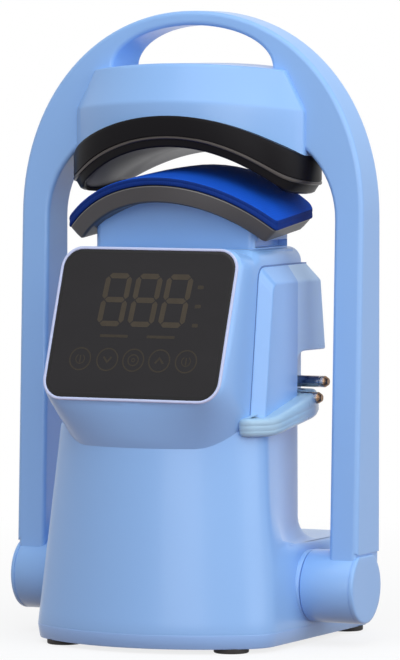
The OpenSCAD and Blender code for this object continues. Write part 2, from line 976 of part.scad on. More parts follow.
module neck() color(shell_blue) {
    difference() {
        intersection() {
            translate([0, neck_y, neck_bottom_z])
                linear_extrude(form_r)
                    rounded_rect(neck_w, neck_d, neck_r_corner);
            saddle_rod(neck_r, form_axis);
        }
        intersection() {
            translate([0, neck_y, neck_bottom_z - 1])
                linear_extrude(form_r)
                    rounded_rect(neck_w - 2 * wall, neck_d - 2 * wall, neck_r_corner - wall);
            saddle_rod(neck_r - 2 * wall, form_axis);
        }
        form_screw_spots()
            cylinder(h = big, r = screw_shank_r + run);
    }
}

module form_screw_spots() {
    for (x = [-1, 1], y = [-1, 1])
        translate([x * 30, neck_y + y * 14, ctl_top_z])
            children();
}

module form_plate() color(dark_grey) {
    difference() {
        intersection() {
            saddle_layer(plate_r - plate_t, plate_r, form_axis, pad_points(1));
            saddle_wedge(plate_angle, form_axis);
        }
        form_screw_spots()
            cylinder(h = big, r = screw_shank_r + run);
    }
}

module form_screws() color(steel) {
    intersection() {
        form_screw_spots()
            cylinder(h = big, r = screw_shank_r);
        difference() {
            saddle_rod(plate_r - 2, form_axis);
            saddle_rod(neck_r - 3 * wall, form_axis);
        }
    }
}

// Foam pad with its edge drawn in above and below
module form_pad() color(pad_blue) {
    roll = 1.5;
    low_r = form_r - pad_t;
    for (layer = [[0, roll, 1.2], [roll, pad_t - roll, 0], [pad_t - roll, pad_t, 1.4]])
        saddle_layer(low_r + layer[0], low_r + layer[1], form_axis, pad_points(layer[2]));
}

module arch_opening(grow) {
    half = open_half_w + grow;
    translate([-half, 0])
        square([2 * half, open_spring_z]);
    for (side = [-1, 1])
        translate([side * (open_half_w - opening_r), open_spring_z])
            circle(r = opening_r + grow);
    translate([-(open_half_w - opening_r), 0])
        square([2 * (open_half_w - opening_r), open_spring_z + opening_r + grow]);
    translate([-bay_half_w - grow, 0])
        square([2 * (bay_half_w + grow), bay_top_z + grow]);
}

// Front view of the arch; inset leaves room for its wall
module arch_profile(inset) {
    difference() {
        union() {
            translate([0, arch_spring_z])
                polygon(half_oval_points(arm_half_w - inset, arch_top_z - arch_spring_z - inset, arch_full));
            translate([-arm_half_w + inset, hub_z])
                square([2 * (arm_half_w - inset), arch_spring_z - hub_z]);
        }
        arch_opening(inset);
        translate([0, handle_z - inset])
            polygon(half_oval_points(handle_half_w + inset, handle_h + 2 * inset));
    }
}

module arch_slab(inset, y0, y1) {
    translate([0, y1, 0])
        rotate([90, 0, 0])
            linear_extrude(y1 - y0)
                arch_profile(inset);
}

// Everything behind the arch's leaning front face
module behind_arch_front(gap) {
    translate([0, arch_front_y + gap, hub_z])
        rotate([-arch_lean, 0, 0])
            translate([-big / 2, 0, -big / 2])
                cube([big, big, 2 * big]);
}

module above_legs(z) {
    translate([-big / 2, -big / 2, z])
        cube([big, big, big]);
}

module arch_shell() color(shell_blue) {
    difference() {
        union() {
            difference() {
                intersection() {
                    arch_slab(0, arch_front_y - 1, arch_rear_y);
                    behind_arch_front(0);
                }
                intersection() {
                    arch_slab(wall, arch_front_y - 1, arch_rear_y + 1);
                    behind_arch_front(wall);
                    above_legs(leg_solid_z);
                }
            }
            both_sides()
                at_hub()
                    rod_x(hub_in, arm_half_w, hub_r);
        }
        both_sides()
            at_hub() {
                rod_x(hub_in - 1, arm_half_w, bush_r + run);
                rod_x(nut_x - fit, arm_half_w, bush_r + 4);
            }
        both_sides()
            translate([arm_half_w - cap_t - fit, -big / 2, -big / 2])
                cube([cap_t + 1, big, big / 2 + cap_flat_z + fit]);
    }
}

module hub_caps() color(shell_blue) {
    both_sides()
        intersection() {
            at_hub()
                rod_x(arm_half_w - cap_t, arm_half_w, hub_r);
            translate([0, -big / 2, cap_flat_z - big])
                cube([big, big, big]);
        }
}

module back_screw_spots() {
    both_sides()
        for (p = back_screws)
            translate([p.x, arch_rear_y, p.y])
                rotate([90, 0, 0])
                    children();
}

module arch_back() color(shell_blue) {
    difference() {
        intersection() {
            arch_slab(wall + fit, arch_rear_y - back_t, arch_rear_y);
            above_legs(leg_solid_z + fit);
        }
        back_screw_spots() {
            translate([0, 0, -1])
                cylinder(h = back_t + 2, r = screw_shank_r + fit);
            translate([0, 0, -1])
                cylinder(h = 2.6, r = screw_head_r + fit);
        }
    }
}

module arm_frame() color(steel) {
    difference() {
        intersection() {
            arch_slab(wall + fit, frame_y, frame_y + sheet_t);
            above_legs(leg_solid_z + fit);
        }
        back_screw_spots()
            cylinder(h = 40, r = screw_shank_r + run);
    }
}

module arch_screws() color(steel) {
    back_screw_spots() {
        translate([0, 0, 0.3])
            cylinder(h = 1.3, r = screw_head_r);
        translate([0, 0, 0.3])
            cylinder(h = arch_rear_y - frame_y + 1, r = screw_shank_r);
    }
}

module hub_bushes() color([0.74, 0.58, 0.32]) {
    both_sides()
        at_hub()
            difference() {
                rod_x(hub_in + fit, nut_x - fit, bush_r);
                rod_x(hub_in - 1, arm_half_w, axle_r + run);
            }
}

module axle_nuts() color(steel) {
    both_sides()
        at_hub()
            difference() {
                rod_x(nut_x, nut_x + nut_t, bush_r + 3);
                rod_x(nut_x - 1, arm_half_w, axle_r + run);
            }
}

// Head block down to low_z: upright below the crease, drawn in above it
module head_block(inset, low_z) {
    top_z = head_top_z - inset - thin;
    hull() {
        translate([0, 0, crease_z])
            linear_extrude(thin)
                polygon(head_points(inset));
        translate([0, 0, top_z])
            linear_extrude(thin)
                polygon(oval_points(head_half_w - top_in_w - inset, head_half_d - top_in_d - inset));
    }
    translate([0, 0, low_z])
        linear_extrude(crease_z + thin - low_z)
            polygon(head_points(inset));
}

module head_shell() {
    difference() {
        head_block(0, head_low_z);
        head_block(wall, head_low_z - 1);
        saddle_rod(skirt_top_r + fit, head_axis);
    }
}

module head_front() color(shell_blue) {
    difference() {
        head_shell();
        behind_arch_front(-fit);
    }
}

module head_rear() color(shell_blue) {
    difference() {
        head_shell();
        translate([-big / 2, arch_rear_y + fit - big, 0])
            cube([big, big, big]);
    }
}

module head_plate() color(steel) {
    difference() {
        translate([0, 0, head_plate_z])
            linear_extrude(head_plate_t)
                polygon(head_points(14));
        platen_post_spots()
            cylinder(h = big, r = 2);
    }
}

module head_posts() color(steel) {
    both_sides()
        translate([40, head_y + 2, head_plate_z + head_plate_t])
            cylinder(h = bay_top_z - head_plate_z - head_plate_t, r = 5);
}

module head_skirt() color(black) {
    difference() {
        saddle_layer(skirt_r, skirt_top_r, head_axis, head_points(-skirt_proud));
        linear_extrude(big)
            polygon(head_points(skirt_wall - skirt_proud));
    }
}

module heat_layer(r0, t, inset) {
    saddle_layer(r0, r0 + t, head_axis, head_points(inset));
}

module platen_post_spots() {
    for (x = [-1, 1], y = [-1, 1])
        translate([x * 45, head_y + y * 20, saddle_axis_z])
            children();
}

module heat_platen() color([0.62, 0.62, 0.62]) {
    heat_layer(saddle_r, platen_t, skirt_wall - skirt_proud + fit);
}

module heating_element() color([0.55, 0.30, 0.20]) {
    difference() {
        heat_layer(heater_r, heater_t, skirt_wall + 6);
        platen_post_spots()
            cylinder(h = big, r = 5);
    }
}

module insulation() color([0.88, 0.86, 0.80]) {
    difference() {
        heat_layer(blanket_r, blanket_t, skirt_wall + 6);
        platen_post_spots()
            cylinder(h = big, r = 5);
        translate([0, head_y, saddle_axis_z])
            cylinder(h = big, r = 8);
    }
}

module platen_posts() color(steel) {
    difference() {
        platen_post_spots()
            cylinder(h = head_plate_z - saddle_axis_z, r = 4);
        saddle_rod(heater_r, head_axis);
    }
}

module thermostat() color([0.82, 0.80, 0.74]) {
    difference() {
        translate([0, head_y, saddle_axis_z])
            cylinder(h = blanket_r + 8, r = 7);
        saddle_rod(blanket_r, head_axis);
    }
}

base_pan();
base_feet();
base_screws();
base_shell();
rear_cover();
rear_screws();
control_housing();
display_bezel();
touch_glass();
led_display();
touch_springs();
display_board();
hook_housing();
hook_ledge();
strap_posts();
axle_brackets();
hub_axles();
lift_frame();
guide_rods();
screw_bearing();
lift_motor();
power_board();
board_parts();
power_inlet();
switch_frame();
power_rocker();
motor_shaft();
screw_coupler();
lead_screw();
carriage();
lift_nut();
guide_bushes();
neck();
form_plate();
form_screws();
form_pad();
arch_shell();
arch_back();
arch_screws();
arm_frame();
hub_bushes();
axle_nuts();
hub_caps();
head_front();
head_rear();
head_plate();
head_posts();
head_skirt();
heat_platen();
heating_element();
insulation();
platen_posts();
thermostat();
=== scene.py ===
import json
import math

import bmesh
import bpy
from bpy.props import FloatProperty, FloatVectorProperty, PointerProperty
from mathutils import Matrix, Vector

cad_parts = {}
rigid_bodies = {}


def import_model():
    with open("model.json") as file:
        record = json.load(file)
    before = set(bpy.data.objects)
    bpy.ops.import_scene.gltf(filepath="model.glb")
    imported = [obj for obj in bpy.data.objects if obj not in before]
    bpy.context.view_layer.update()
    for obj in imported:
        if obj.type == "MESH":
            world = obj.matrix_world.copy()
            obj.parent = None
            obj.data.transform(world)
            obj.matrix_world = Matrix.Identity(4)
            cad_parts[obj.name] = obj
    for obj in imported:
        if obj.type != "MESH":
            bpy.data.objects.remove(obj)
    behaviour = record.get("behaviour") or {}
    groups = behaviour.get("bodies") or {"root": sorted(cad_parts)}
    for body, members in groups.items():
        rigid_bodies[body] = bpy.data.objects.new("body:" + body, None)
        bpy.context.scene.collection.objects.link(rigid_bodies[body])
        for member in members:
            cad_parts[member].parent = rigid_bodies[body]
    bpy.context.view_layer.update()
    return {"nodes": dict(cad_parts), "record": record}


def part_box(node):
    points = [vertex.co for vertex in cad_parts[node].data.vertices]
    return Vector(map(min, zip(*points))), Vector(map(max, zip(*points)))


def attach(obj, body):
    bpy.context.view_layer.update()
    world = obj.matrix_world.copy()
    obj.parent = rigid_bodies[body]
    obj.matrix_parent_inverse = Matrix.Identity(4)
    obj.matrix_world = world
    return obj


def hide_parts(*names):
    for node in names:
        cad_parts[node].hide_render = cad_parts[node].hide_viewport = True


bl_info = {
    "name": "Cap heat press",
    "version": (1, 0, 0),
    "blender": (4, 5, 0),
    "location": "View3D > Sidebar > Press",
    "description": "Builds the visible pieces of a tabletop cap heat press on its packed frame",
    "category": "Object",
}

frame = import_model()


def srgb(*channels):
    """Linear colour of a screen colour given as 0 to 255."""
    return tuple(
        v / 12.92 if v <= 0.04045 else ((v + 0.055) / 1.055) ** 2.4 for v in (c / 255 for c in channels)
    )


def tint(tone, factor):
    """A colour made lighter or darker. A colour in place of the factor is taken as it is."""
    return factor if isinstance(factor, tuple) else tuple(min(1.0, v * factor) for v in tone)


def length(name, text, default):
    """A size in metres."""
    return FloatProperty(name=name, description=text, default=default, min=0.0, unit="LENGTH", precision=5)


def colour(name, text, default):
    """A colour in linear values."""
    return FloatVectorProperty(
        name=name, description=text, default=default, size=3, subtype="COLOR", min=0.0, max=1.0
    )


def amount(name, text, default, low=0.0, high=1.0):
    """A plain number."""
    return FloatProperty(name=name, description=text, default=default, min=low, max=high)


def angle(name, text, default):
    """An angle, given in degrees here and kept in radians."""
    return FloatProperty(name=name, description=text, default=math.radians(default), subtype="ANGLE")


class PressSizes(bpy.types.PropertyGroup):
    """Sizes of the press that the moulded pieces are drawn from."""

    arch_round: length("Arch edge", "Rounding of the arch's edges", 0.0034)
    hook_round: length("Hook edge", "Rounding of the strap hook's edges", 0.0013)
    platform_fillet: length("Platform fillet", "Rounding where the column rises from the platform", 0.015)
    head_crown: length("Head crown", "Fall of the head's top edge from its middle to its ends", 0.0047)
    crease_crown: length("Crease crown", "Fall of the head's crease from its middle to its ends", 0.006)
    skirt_step: length("Skirt step", "Height of the skirt's set-back lower ring", 0.0066)
    pad_crown: length("Pad crown", "How much the pad swells in its middle", 0.0008)
    rim_width: length("Rim width", "Width of the pale rim round the glass", 0.002)
    digit_height: length("Digit height", "Height of the display's digits", 0.034)


class PressColours(bpy.types.PropertyGroup):
    """Colours of the finishes."""

    shell: colour("Shell", "Gloss plastic of the shells", srgb(139, 185, 240))
    band: colour("Band", "Bottom pan's plastic", srgb(143, 184, 238))
    rim: colour("Rim", "Pale rim round the glass", srgb(190, 203, 238))
    glass: colour("Glass", "Face of the display", srgb(28, 27, 30))
    digits: colour("Digits", "Unlit digits on the glass", srgb(60, 54, 44))
    marks: colour("Marks", "Fainter print of the touch marks", tint(srgb(60, 54, 44), 0.72))
    skirt: colour("Skirt", "Satin plastic round the hot platen", srgb(14, 13, 16))
    # The lip is a real bead on the skirt; its lighter grey line is a painted highlight
    lip: colour("Skirt lip", "Thin line near the skirt's bottom", srgb(78, 74, 72))
    platen: colour("Platen", "Coated face of the hot platen", srgb(66, 66, 72))
    plate: colour("Form plate", "Painted plate under the pad", srgb(58, 57, 60))
    pad: colour("Pad", "Cloth face of the pad", srgb(18, 82, 196))
    # The pad's side takes a darker tone as painted shade: it faces away from the top light
    pad_side: colour("Pad side", "Folded side of the pad", srgb(14, 50, 128))
    # The hood's paler tone is painted light: it brightens the hood where the arm's right leg shades it
    hood: colour("Hood", "Paler plastic of the strap hook's hood", srgb(180, 213, 246))
    ledge: colour("Ledge", "Paler plastic of the strap hook's ledge", srgb(158, 196, 224))
    # A darker blue as painted shade in the joint round the strap hook
    seam: colour("Seam", "Shaded joint round the strap hook", srgb(84, 124, 184))
    post_tip: colour("Post tip", "Worn copper ends of the strap posts", srgb(132, 104, 82))


class PressStage(bpy.types.PropertyGroup):
    """Camera and lights."""

    azimuth: angle("Azimuth", "Turn of the camera to the right of the front", 25.4)
    distance: length("Distance", "From the camera to the middle of the arm's hubs, level", 3.66)
    height: length("Height", "Height of the camera", 0.417)
    pitch: amount("Pitch", "Fall of the view per metre", -0.05578, -1.0, 1.0)
    side: amount("Side", "Turn of the view to the right per metre", 0.00113, -1.0, 1.0)
    lens: amount("Lens", "Focal length on a 36 mm high frame", 289.5, 10.0, 900.0)
    key: amount("Key light", "Power of the right softbox, watts", 4.0, 0.0, 500.0)
    side_light: amount("Side light", "Power of the wide softbox at the right, watts", 12.0, 0.0, 500.0)
    fill: amount("Fill light", "Power of the front softbox, watts", 9.0, 0.0, 500.0)
    top: amount("Top light", "Power of the overhead softbox, watts", 10.5, 0.0, 500.0)
    sky: amount("Sky", "Strength of the room light", 0.6, 0.0, 5.0)
    bounce: colour("Bounce", "Tone of the light that the floor throws up", (0.22, 0.075, 0.06))
    paper: amount("Paper", "How white the floor looks to the camera beyond its own light", 0.8)


# Shader arithmetic


class Value:
    """A shader socket that takes part in Python arithmetic."""

    def __init__(self, nodes, socket):
        self.nodes = nodes
        self.socket = socket

    def _math(self, operation, a, b):
        return self.nodes.node("ShaderNodeMath", {"operation": operation}, {0: a, 1: b})

    def __add__(self, other):
        return self._math("ADD", self, other)

    def __radd__(self, other):
        return self._math("ADD", other, self)

    def __sub__(self, other):
        return self._math("SUBTRACT", self, other)

    def __rsub__(self, other):
        return self._math("SUBTRACT", other, self)

    def __mul__(self, other):
        return self._math("MULTIPLY", self, other)

    def __rmul__(self, other):
        return self._math("MULTIPLY", other, self)


class Nodes:
    """A shader tree and the one way to add a node to it."""

    def __init__(self, tree):
        self.tree = tree

    def node(self, kind, settings=None, sockets=None, out=0):
        """One node: its settings first, then the values or links of its sockets."""
        made = self.tree.nodes.new(kind)
        for key, value in (settings or {}).items():
            if key == "stops":
                ramp = made.color_ramp
                while len(ramp.elements) < len(value):
                    ramp.elements.new(1.0)
                for element, (place, tone) in zip(ramp.elements, value):
                    element.position = place
                    element.color = (*tone, 1.0) if isinstance(tone, tuple) else (tone, tone, tone, 1.0)
            else:
                setattr(made, key, value)
        for key, value in (sockets or {}).items():
            self.fill(made.inputs[key], value)
        return Value(self, made.outputs[out])

    def fill(self, socket, value):
        """Links a socket to a value, or sets it."""
        if isinstance(value, Value):
            self.tree.links.new(value.socket, socket)
        else:
            socket.default_value = (*value, 1.0) if socket.type == "RGBA" else value

    def background(self):
        """1 for the rays that show the white background: from the camera, reflected or through glass."""
        camera, glossy, through = (
            self.node("ShaderNodeLightPath", out=f"Is {ray} Ray")
            for ray in ("Camera", "Glossy", "Transmission")
        )
        rays = {0: camera, 1: glossy + through}
        return self.node("ShaderNodeMath", {"operation": "ADD", "use_clamp": True}, rays)

    def show(self, shader):
        """Makes a shader the tree's surface."""
        end = next(n for n in self.tree.nodes if n.type.startswith("OUTPUT_"))
        self.tree.links.new(shader.socket, end.inputs["Surface"])


class Finish(Nodes):
    """A material, its shader and the patterns that feed it."""

    def __init__(self, name, **constants):
        self.material = bpy.data.materials.new(name)
        self.material.use_nodes = True
        super().__init__(self.material.node_tree)
        self.shader = next(n for n in self.tree.nodes if n.type == "BSDF_PRINCIPLED")
        for key, value in constants.items():
            self.feed(key.replace("_", " "), value)
        self.material.diffuse_color = (*constants["Base_Color"], 1.0)

    def feed(self, socket, value):
        """Fills one of the shader's sockets."""
        self.fill(self.shader.inputs[socket], value)

    def place(self):
        """Position on the piece, in metres."""
        return self.node("ShaderNodeTexCoord", out="Object")

    def noise(self, scale, detail=2.0, rough=0.5, stretch=None):
        """Fractal noise, 0 to 1, with stretch as the scale along each axis."""
        where = self.place()
        if stretch:
            where = self.node("ShaderNodeVectorMath", {"operation": "MULTIPLY"}, {0: where, 1: stretch})
        return self.node(
            "ShaderNodeTexNoise", None,
            {"Vector": where, "Scale": scale, "Detail": detail, "Roughness": rough}
        )

    def wave(self, scale, distortion, along="X"):
        """Soft bands across one axis, 0 to 1."""
        return self.node(
            "ShaderNodeTexWave", {"bands_direction": along},
            {"Vector": self.place(), "Scale": scale, "Distortion": distortion}
        )

    def mix(self, factor, a, b):
        """Colour between a and b."""
        return self.node("ShaderNodeMix", {"data_type": "RGBA"}, {0: factor, 6: a, 7: b}, 2)

    def ramp(self, factor, *stops):
        """A factor pulled through grey stops."""
        return self.node("ShaderNodeValToRGB", {"stops": stops}, {0: factor})

    def bump(self, height, strength, distance):
        """Raises the surface by a height field, distance in metres."""
        self.feed("Normal", self.node(
            "ShaderNodeBump", None, {"Strength": strength, "Distance": distance, "Height": height}
        ))


# Makers of finishes: each takes the material's name and its tone


def moulded(name, tone, roughness):
    """Injection-moulded gloss plastic: faint flow marks, handling haze and orange peel."""
    f = Finish(
        name, Base_Color=tone, Roughness=roughness, IOR=1.49, Specular_IOR_Level=0.36, Coat_Roughness=0.12,
        Coat_IOR=1.5
    )
    flow = f.noise(5.5, 3.0, 0.55, (1.0, 1.0, 0.45))
    haze = f.noise(38.0, 4.0, 0.6)
    specks = f.ramp(f.noise(900.0, 1.0), (0.66, 0.0), (0.74, 1.0))
    base = f.mix(flow, tint(tone, 0.955), tint(tone, 1.03))
    f.feed("Base Color", f.mix(specks * 0.05, base, tint(tone, 0.7)))
    f.feed("Roughness", roughness - 0.05 + 0.12 * haze)
    f.feed("Coat Weight", 0.16 * (1.15 - 0.3 * haze))
    f.bump(f.noise(620.0, 2.0) + 1.6 * flow, 0.10, 0.00012)
    return f.material


def mottled(name, tone, shades, patch, grain, gloss, relief, constants):
    """Two shades in patches with a finer grain; gloss is the least roughness and what each adds."""
    f = Finish(name, Base_Color=tone, **constants)
    cloud = f.noise(*patch)
    fine = f.noise(*grain) if grain else cloud
    f.feed("Base Color", f.mix(cloud, tint(tone, shades[0]), tint(tone, shades[1])))
    rough = gloss[0] + gloss[1] * cloud
    f.feed("Roughness", rough + gloss[2] * fine if len(gloss) > 2 else rough)
    if relief:
        f.bump(fine, *relief)
    return f.material


def satin_black(name, tone, roughness, grain, specular=0.3):
    """Spark-textured black plastic with rubbed patches."""
    return mottled(
        name, tone, (0.8, 1.45), (16.0, 4.0, 0.6), (grain, 2.0, 0.6), (roughness - 0.08, 0.16, 0.06),
        (0.25, 0.00012), {"Roughness": roughness, "IOR": 1.5, "Specular_IOR_Level": specular}
    )


def brushed(name, tone, roughness, stretch, metal=1.0):
    """Metal drawn or ground along one direction."""
    f = Finish(name, Base_Color=tone, Roughness=roughness, Metallic=metal)
    lines = f.noise(60.0, 5.0, 0.65, stretch)
    cloud = f.noise(24.0, 3.0)
    f.feed("Base Color", f.mix(lines * 0.6 + cloud * 0.4, tint(tone, 0.78), tint(tone, 1.12)))
    f.feed("Roughness", roughness - 0.07 + 0.10 * lines + 0.08 * cloud)
    f.bump(lines, 0.08, 0.00005)
    return f.material


def woven(name, tone):
    """Coated cloth: fine plain weave, pressed nap and scuffed shine."""
    f = Finish(name, Base_Color=tone, Roughness=0.7, Specular_IOR_Level=0.12)
    warp, weft = (f.wave(210.0, 0.6, along) for along in "XY")
    weave = warp * weft + 0.35 * (1 - warp) * (1 - weft)
    nap = f.noise(45.0, 4.0, 0.6)
    base = f.mix(nap, tint(tone, 0.82), tint(tone, 1.14))
    f.feed("Base Color", f.mix(weave * 0.3, base, tint(tone, 0.62)))
    f.feed("Roughness", 0.60 + 0.16 * nap + 0.08 * weave)
    f.bump(weave, 0.35, 0.00018)
    return f.material


def worn_posts(name, tip):
    """Polished posts, worn to copper at their ends."""
    f = Finish(name, Base_Color=(0.75, 0.75, 0.76), Roughness=0.12, Metallic=1.0)
    turned = f.noise(50.0, 4.0, 0.6, (26.0, 1.0, 1.0))
    along = f.node("ShaderNodeSeparateXYZ", None, {0: f.place()}, "X")
    worn = f.ramp(along * 10 + 0.006 * turned, (0.899, 0.0), (0.908, 1.0))
    f.feed("Base Color", f.mix(worn, f.mix(turned, (0.34, 0.31, 0.30), (0.56, 0.53, 0.52)), tip))
    f.feed("Roughness", 0.09 + 0.10 * turned + 0.12 * worn)
    f.bump(turned, 0.06, 0.00005)
    return f.material


def solder_mask(name, tone):
    """Circuit board with tracks under its mask."""
    f = Finish(name, Base_Color=tone, Roughness=0.4)
    track = f.node(
        "ShaderNodeTexBrick", {"offset": 0.37},
        {"Vector": f.place(), "Color1": (0.0, 0.0, 0.0), "Color2": (1.0, 1.0, 1.0), "Mortar": (0.4, 0.4, 0.4),
         "Scale": 90.0, "Mortar Size": 0.06}
    )
    f.feed("Base Color", f.mix(track, (0.014, 0.10, 0.04), (0.03, 0.19, 0.08)))
    f.feed("Roughness", 0.32 + 0.2 * f.noise(300.0))
    f.bump(track, 0.2, 0.00006)
    return f.material


def oxidised(name, tone):
    """Resistance sheet of the heater."""
    f = Finish(name, Base_Color=tone, Roughness=0.5, Metallic=0.7)
    wave = f.wave(60.0, 1.5)
    oxide = f.noise(70.0, 4.0)
    f.feed("Base Color", f.mix(wave * 0.5 + oxide * 0.5, (0.16, 0.05, 0.03), (0.42, 0.18, 0.10)))
    f.feed("Roughness", 0.38 + 0.25 * oxide)
    f.bump(wave, 0.3, 0.0003)
    return f.material


# A finish's maker, its tone or the name of its colour property, and the maker's other values
FINISHES = {
    "shell_plastic": (moulded, "shell", 0.30),
    "band_plastic": (moulded, "band", 0.34),
    "ledge_plastic": (moulded, "ledge", 0.28),
    "hood_plastic": (moulded, "hood", 0.28),
    "seam_plastic": (moulded, "seam", 0.40),
    "rim_plastic": (moulded, "rim", 0.30),
    "skirt_plastic": (satin_black, "skirt", 0.36, 1500.0, 0.1),
    "black_plastic": (satin_black, (0.018, 0.018, 0.02), 0.42, 1300.0),
    "glass_edge": (satin_black, (0.006, 0.006, 0.007), 0.2, 2200.0),
    "sheet_steel": (brushed, (0.60, 0.61, 0.63), 0.34, (1.0, 1.0, 14.0)),
    "turned_brass": (brushed, (0.68, 0.47, 0.20), 0.26, (3.0, 3.0, 22.0)),
    # Lighter metal for the plate's top edge: a painted highlight along the edge
    "plate_edge": (brushed, (0.17, 0.165, 0.165), 0.4, (1.0, 20.0, 20.0)),
    "skirt_lip": (brushed, "lip", 0.35, (1.0, 1.0, 8.0), 0.6),
    "pad_cloth": (woven, "pad"),
    # The same cloth in a darker tone, painted shade for the pad's side
    "pad_binding": (woven, "pad_side"),
    "post_metal": (worn_posts, "post_tip"),
    "circuit_board": (solder_mask, (0.02, 0.13, 0.05)),
    "heater_coil": (oxidised, (0.26, 0.09, 0.05)),
    "plate_paint": (
        mottled, "plate", (0.86, 1.16), (30.0, 4.0), (1100.0, 2.0), (0.36, 0.12, 0.05), (0.2, 0.00012),
        {"Roughness": 0.42, "Metallic": 0.25}
    ),
    "platen_coat": (
        mottled, "platen", (0.72, 1.05), (18.0, 5.0, 0.6), (1400.0, 2.0), (0.30, 0.16, 0.06), (0.14, 0.0001),
        {"Roughness": 0.36, "Metallic": 0.6}
    ),
    "display_glass": (
        mottled, "glass", (0.9, 1.12), (26.0, 4.0, 0.6, (1.0, 1.0, 2.2)), (2600.0, 1.0), (0.24, 0.16, 0.04),
        (0.05, 0.00005), {"Roughness": 0.3, "IOR": 1.5, "Specular_IOR_Level": 0.25}
    ),
    "digit_print": (
        mottled, "digits", (0.8, 1.2), (160.0, 3.0), None, (0.34, 0.12), None,
        {"Roughness": 0.4, "Specular_IOR_Level": 0.25}
    ),
    "mark_print": (
        mottled, "marks", (0.75, 1.15), (220.0, 3.0), None, (0.36, 0.12), None,
        {"Roughness": 0.42, "Specular_IOR_Level": 0.25}
    ),
    "foot_rubber": (
        mottled, (0.02, 0.02, 0.022), ((0.014, 0.014, 0.016), (0.05, 0.048, 0.046)), (120.0, 5.0, 0.7),
        (900.0, 3.0), (0.74, 0.22), (0.35, 0.0002), {"Roughness": 0.85}
    ),
    "fibre_blanket": (
        mottled, (0.72, 0.68, 0.58), ((0.55, 0.51, 0.42), (0.84, 0.81, 0.74)),
        (260.0, 6.0, 0.75, (1.0, 3.0, 1.0)), None, (0.85, 0.12), (0.6, 0.0006), {"Roughness": 0.95}
    ),
    "fired_ceramic": (
        mottled, (0.66, 0.63, 0.54), ((0.56, 0.53, 0.45), (0.74, 0.71, 0.63)), (140.0, 4.0), None,
        (0.4, 0.25), (0.2, 0.0002), {"Roughness": 0.5}
    ),
}
SLOT_FINISH = {
    "shell": "shell_plastic", "band": "band_plastic", "rim": "rim_plastic", "skirt": "skirt_plastic",
    "black_plastic": "black_plastic", "rubber_feet": "foot_rubber", "steel": "sheet_steel",
    "brass": "turned_brass", "form_metal": "plate_paint", "platen": "platen_coat", "pad": "pad_cloth",
    "black_glass": "display_glass", "digits": "digit_print", "chrome_posts": "post_metal",
    "board": "circuit_board", "element": "heater_coil", "blanket": "fibre_blanket",
    "ceramic": "fired_ceramic",
}


def finish(name):
    """A material of the table, made once."""
    made = bpy.data.materials.get(name)
    if made:
        return made
    make, tone, *rest = FINISHES[name]
    if isinstance(tone, str):
        tone = tuple(getattr(bpy.context.scene.press_colours, tone))
    return make(name, tone, *rest)


# Mesh building, in millimetres


class Solid:
    """Points and faces of one piece, in millimetres, with a finish number for each face."""

    def __init__(self):
        self.points, self.faces, self.kinds = [], [], []

    def loft(self, rings, kind=0, rows=(), closed=False):
        """Skin over rings of equal count, capped or closed on itself. The rows named have finish 1."""
        n = len(rings[0])
        start = len(self.points)
        for ring in rings:
            self.points += ring
        spans = len(rings) if closed else len(rings) - 1
        for k in range(spans):
            a = start + k * n
            b = start + (k + 1) % len(rings) * n
            self.faces += [[a + i, a + (i + 1) % n, b + (i + 1) % n, b + i] for i in range(n)]
            self.kinds += [1 if k in rows else kind] * n
        if not closed:
            self.faces.append([start + i for i in reversed(range(n))])
            self.faces.append([start + spans * n + i for i in range(n)])
            self.kinds += [kind, kind]
        return self

    def lathe(self, profile, centre, n=56, along="X"):
        """Turned form: profile of (place along the axis, radius)."""
        rings = []
        for place, radius in profile:
            ring = arc(centre, radius, (360 * i / n for i in range(n)))
            rings.append([(place, u, v) if along == "X" else (u, v, place) for u, v in ring])
        return self.loft(rings)

    def mirrored(self):
        """Adds the other half across X."""
        count = len(self.points)
        self.points += [(-x, y, z) for x, y, z in self.points]
        self.faces += [[count + i for i in reversed(face)] for face in self.faces]
        self.kinds += self.kinds
        return self

    def mesh(self, name):
        """A mesh of the points and faces, in metres."""
        made = bpy.data.meshes.new(name)
        made.from_pydata([tuple(v / 1000 for v in point) for point in self.points], [], self.faces)
        return made


def heal(mesh, weld):
    """Welds the points that meet, where asked, and turns the faces outwards."""
    bm = bmesh.new()
    bm.from_mesh(mesh)
    if weld:
        bmesh.ops.remove_doubles(bm, verts=bm.verts, dist=1e-6)
    bmesh.ops.recalc_face_normals(bm, faces=bm.faces)
    bm.to_mesh(mesh)
    bm.free()


def solved(name, data, cutter=None):
    """The mesh that a curve comes to, or a mesh with a cutter taken out of it. The data given is removed."""
    given = [part for part in (data, cutter) if part]
    made = [bpy.data.objects.new(part.name, part) for part in given]
    for part in made:
        bpy.context.scene.collection.objects.link(part)
    if cutter:
        cut = made[0].modifiers.new("cut", "BOOLEAN")
        cut.object = made[1]
        cut.operation = "DIFFERENCE"
        cut.solver = "EXACT"
    mesh = bpy.data.meshes.new_from_object(made[0].evaluated_get(bpy.context.evaluated_depsgraph_get()))
    bpy.data.batch_remove(made + given)
    mesh.name = name
    return mesh


def piece(name, solid, body, slot, replaces=(), finishes=None, sharp=38.0, bevel=0.0, weld=False, pockets=()):
    """Turns a solid into an object that rides on a body. A pocket is two corners of a box in millimetres."""
    mesh = solid.mesh(name)
    for each in finishes or [SLOT_FINISH[slot]]:
        mesh.materials.append(finish(each))
    mesh.polygons.foreach_set("material_index", solid.kinds)
    heal(mesh, weld)
    if pockets:
        boxes = Solid()
        for (x0, y0, z0), (x1, y1, z1) in pockets:
            boxes.loft([[(x0, y0, z), (x1, y0, z), (x1, y1, z), (x0, y1, z)] for z in (z0, z1)])
        mesh = solved(name, mesh, boxes.mesh("pockets"))
    return place_mesh(name, mesh, body, replaces, sharp, bevel)


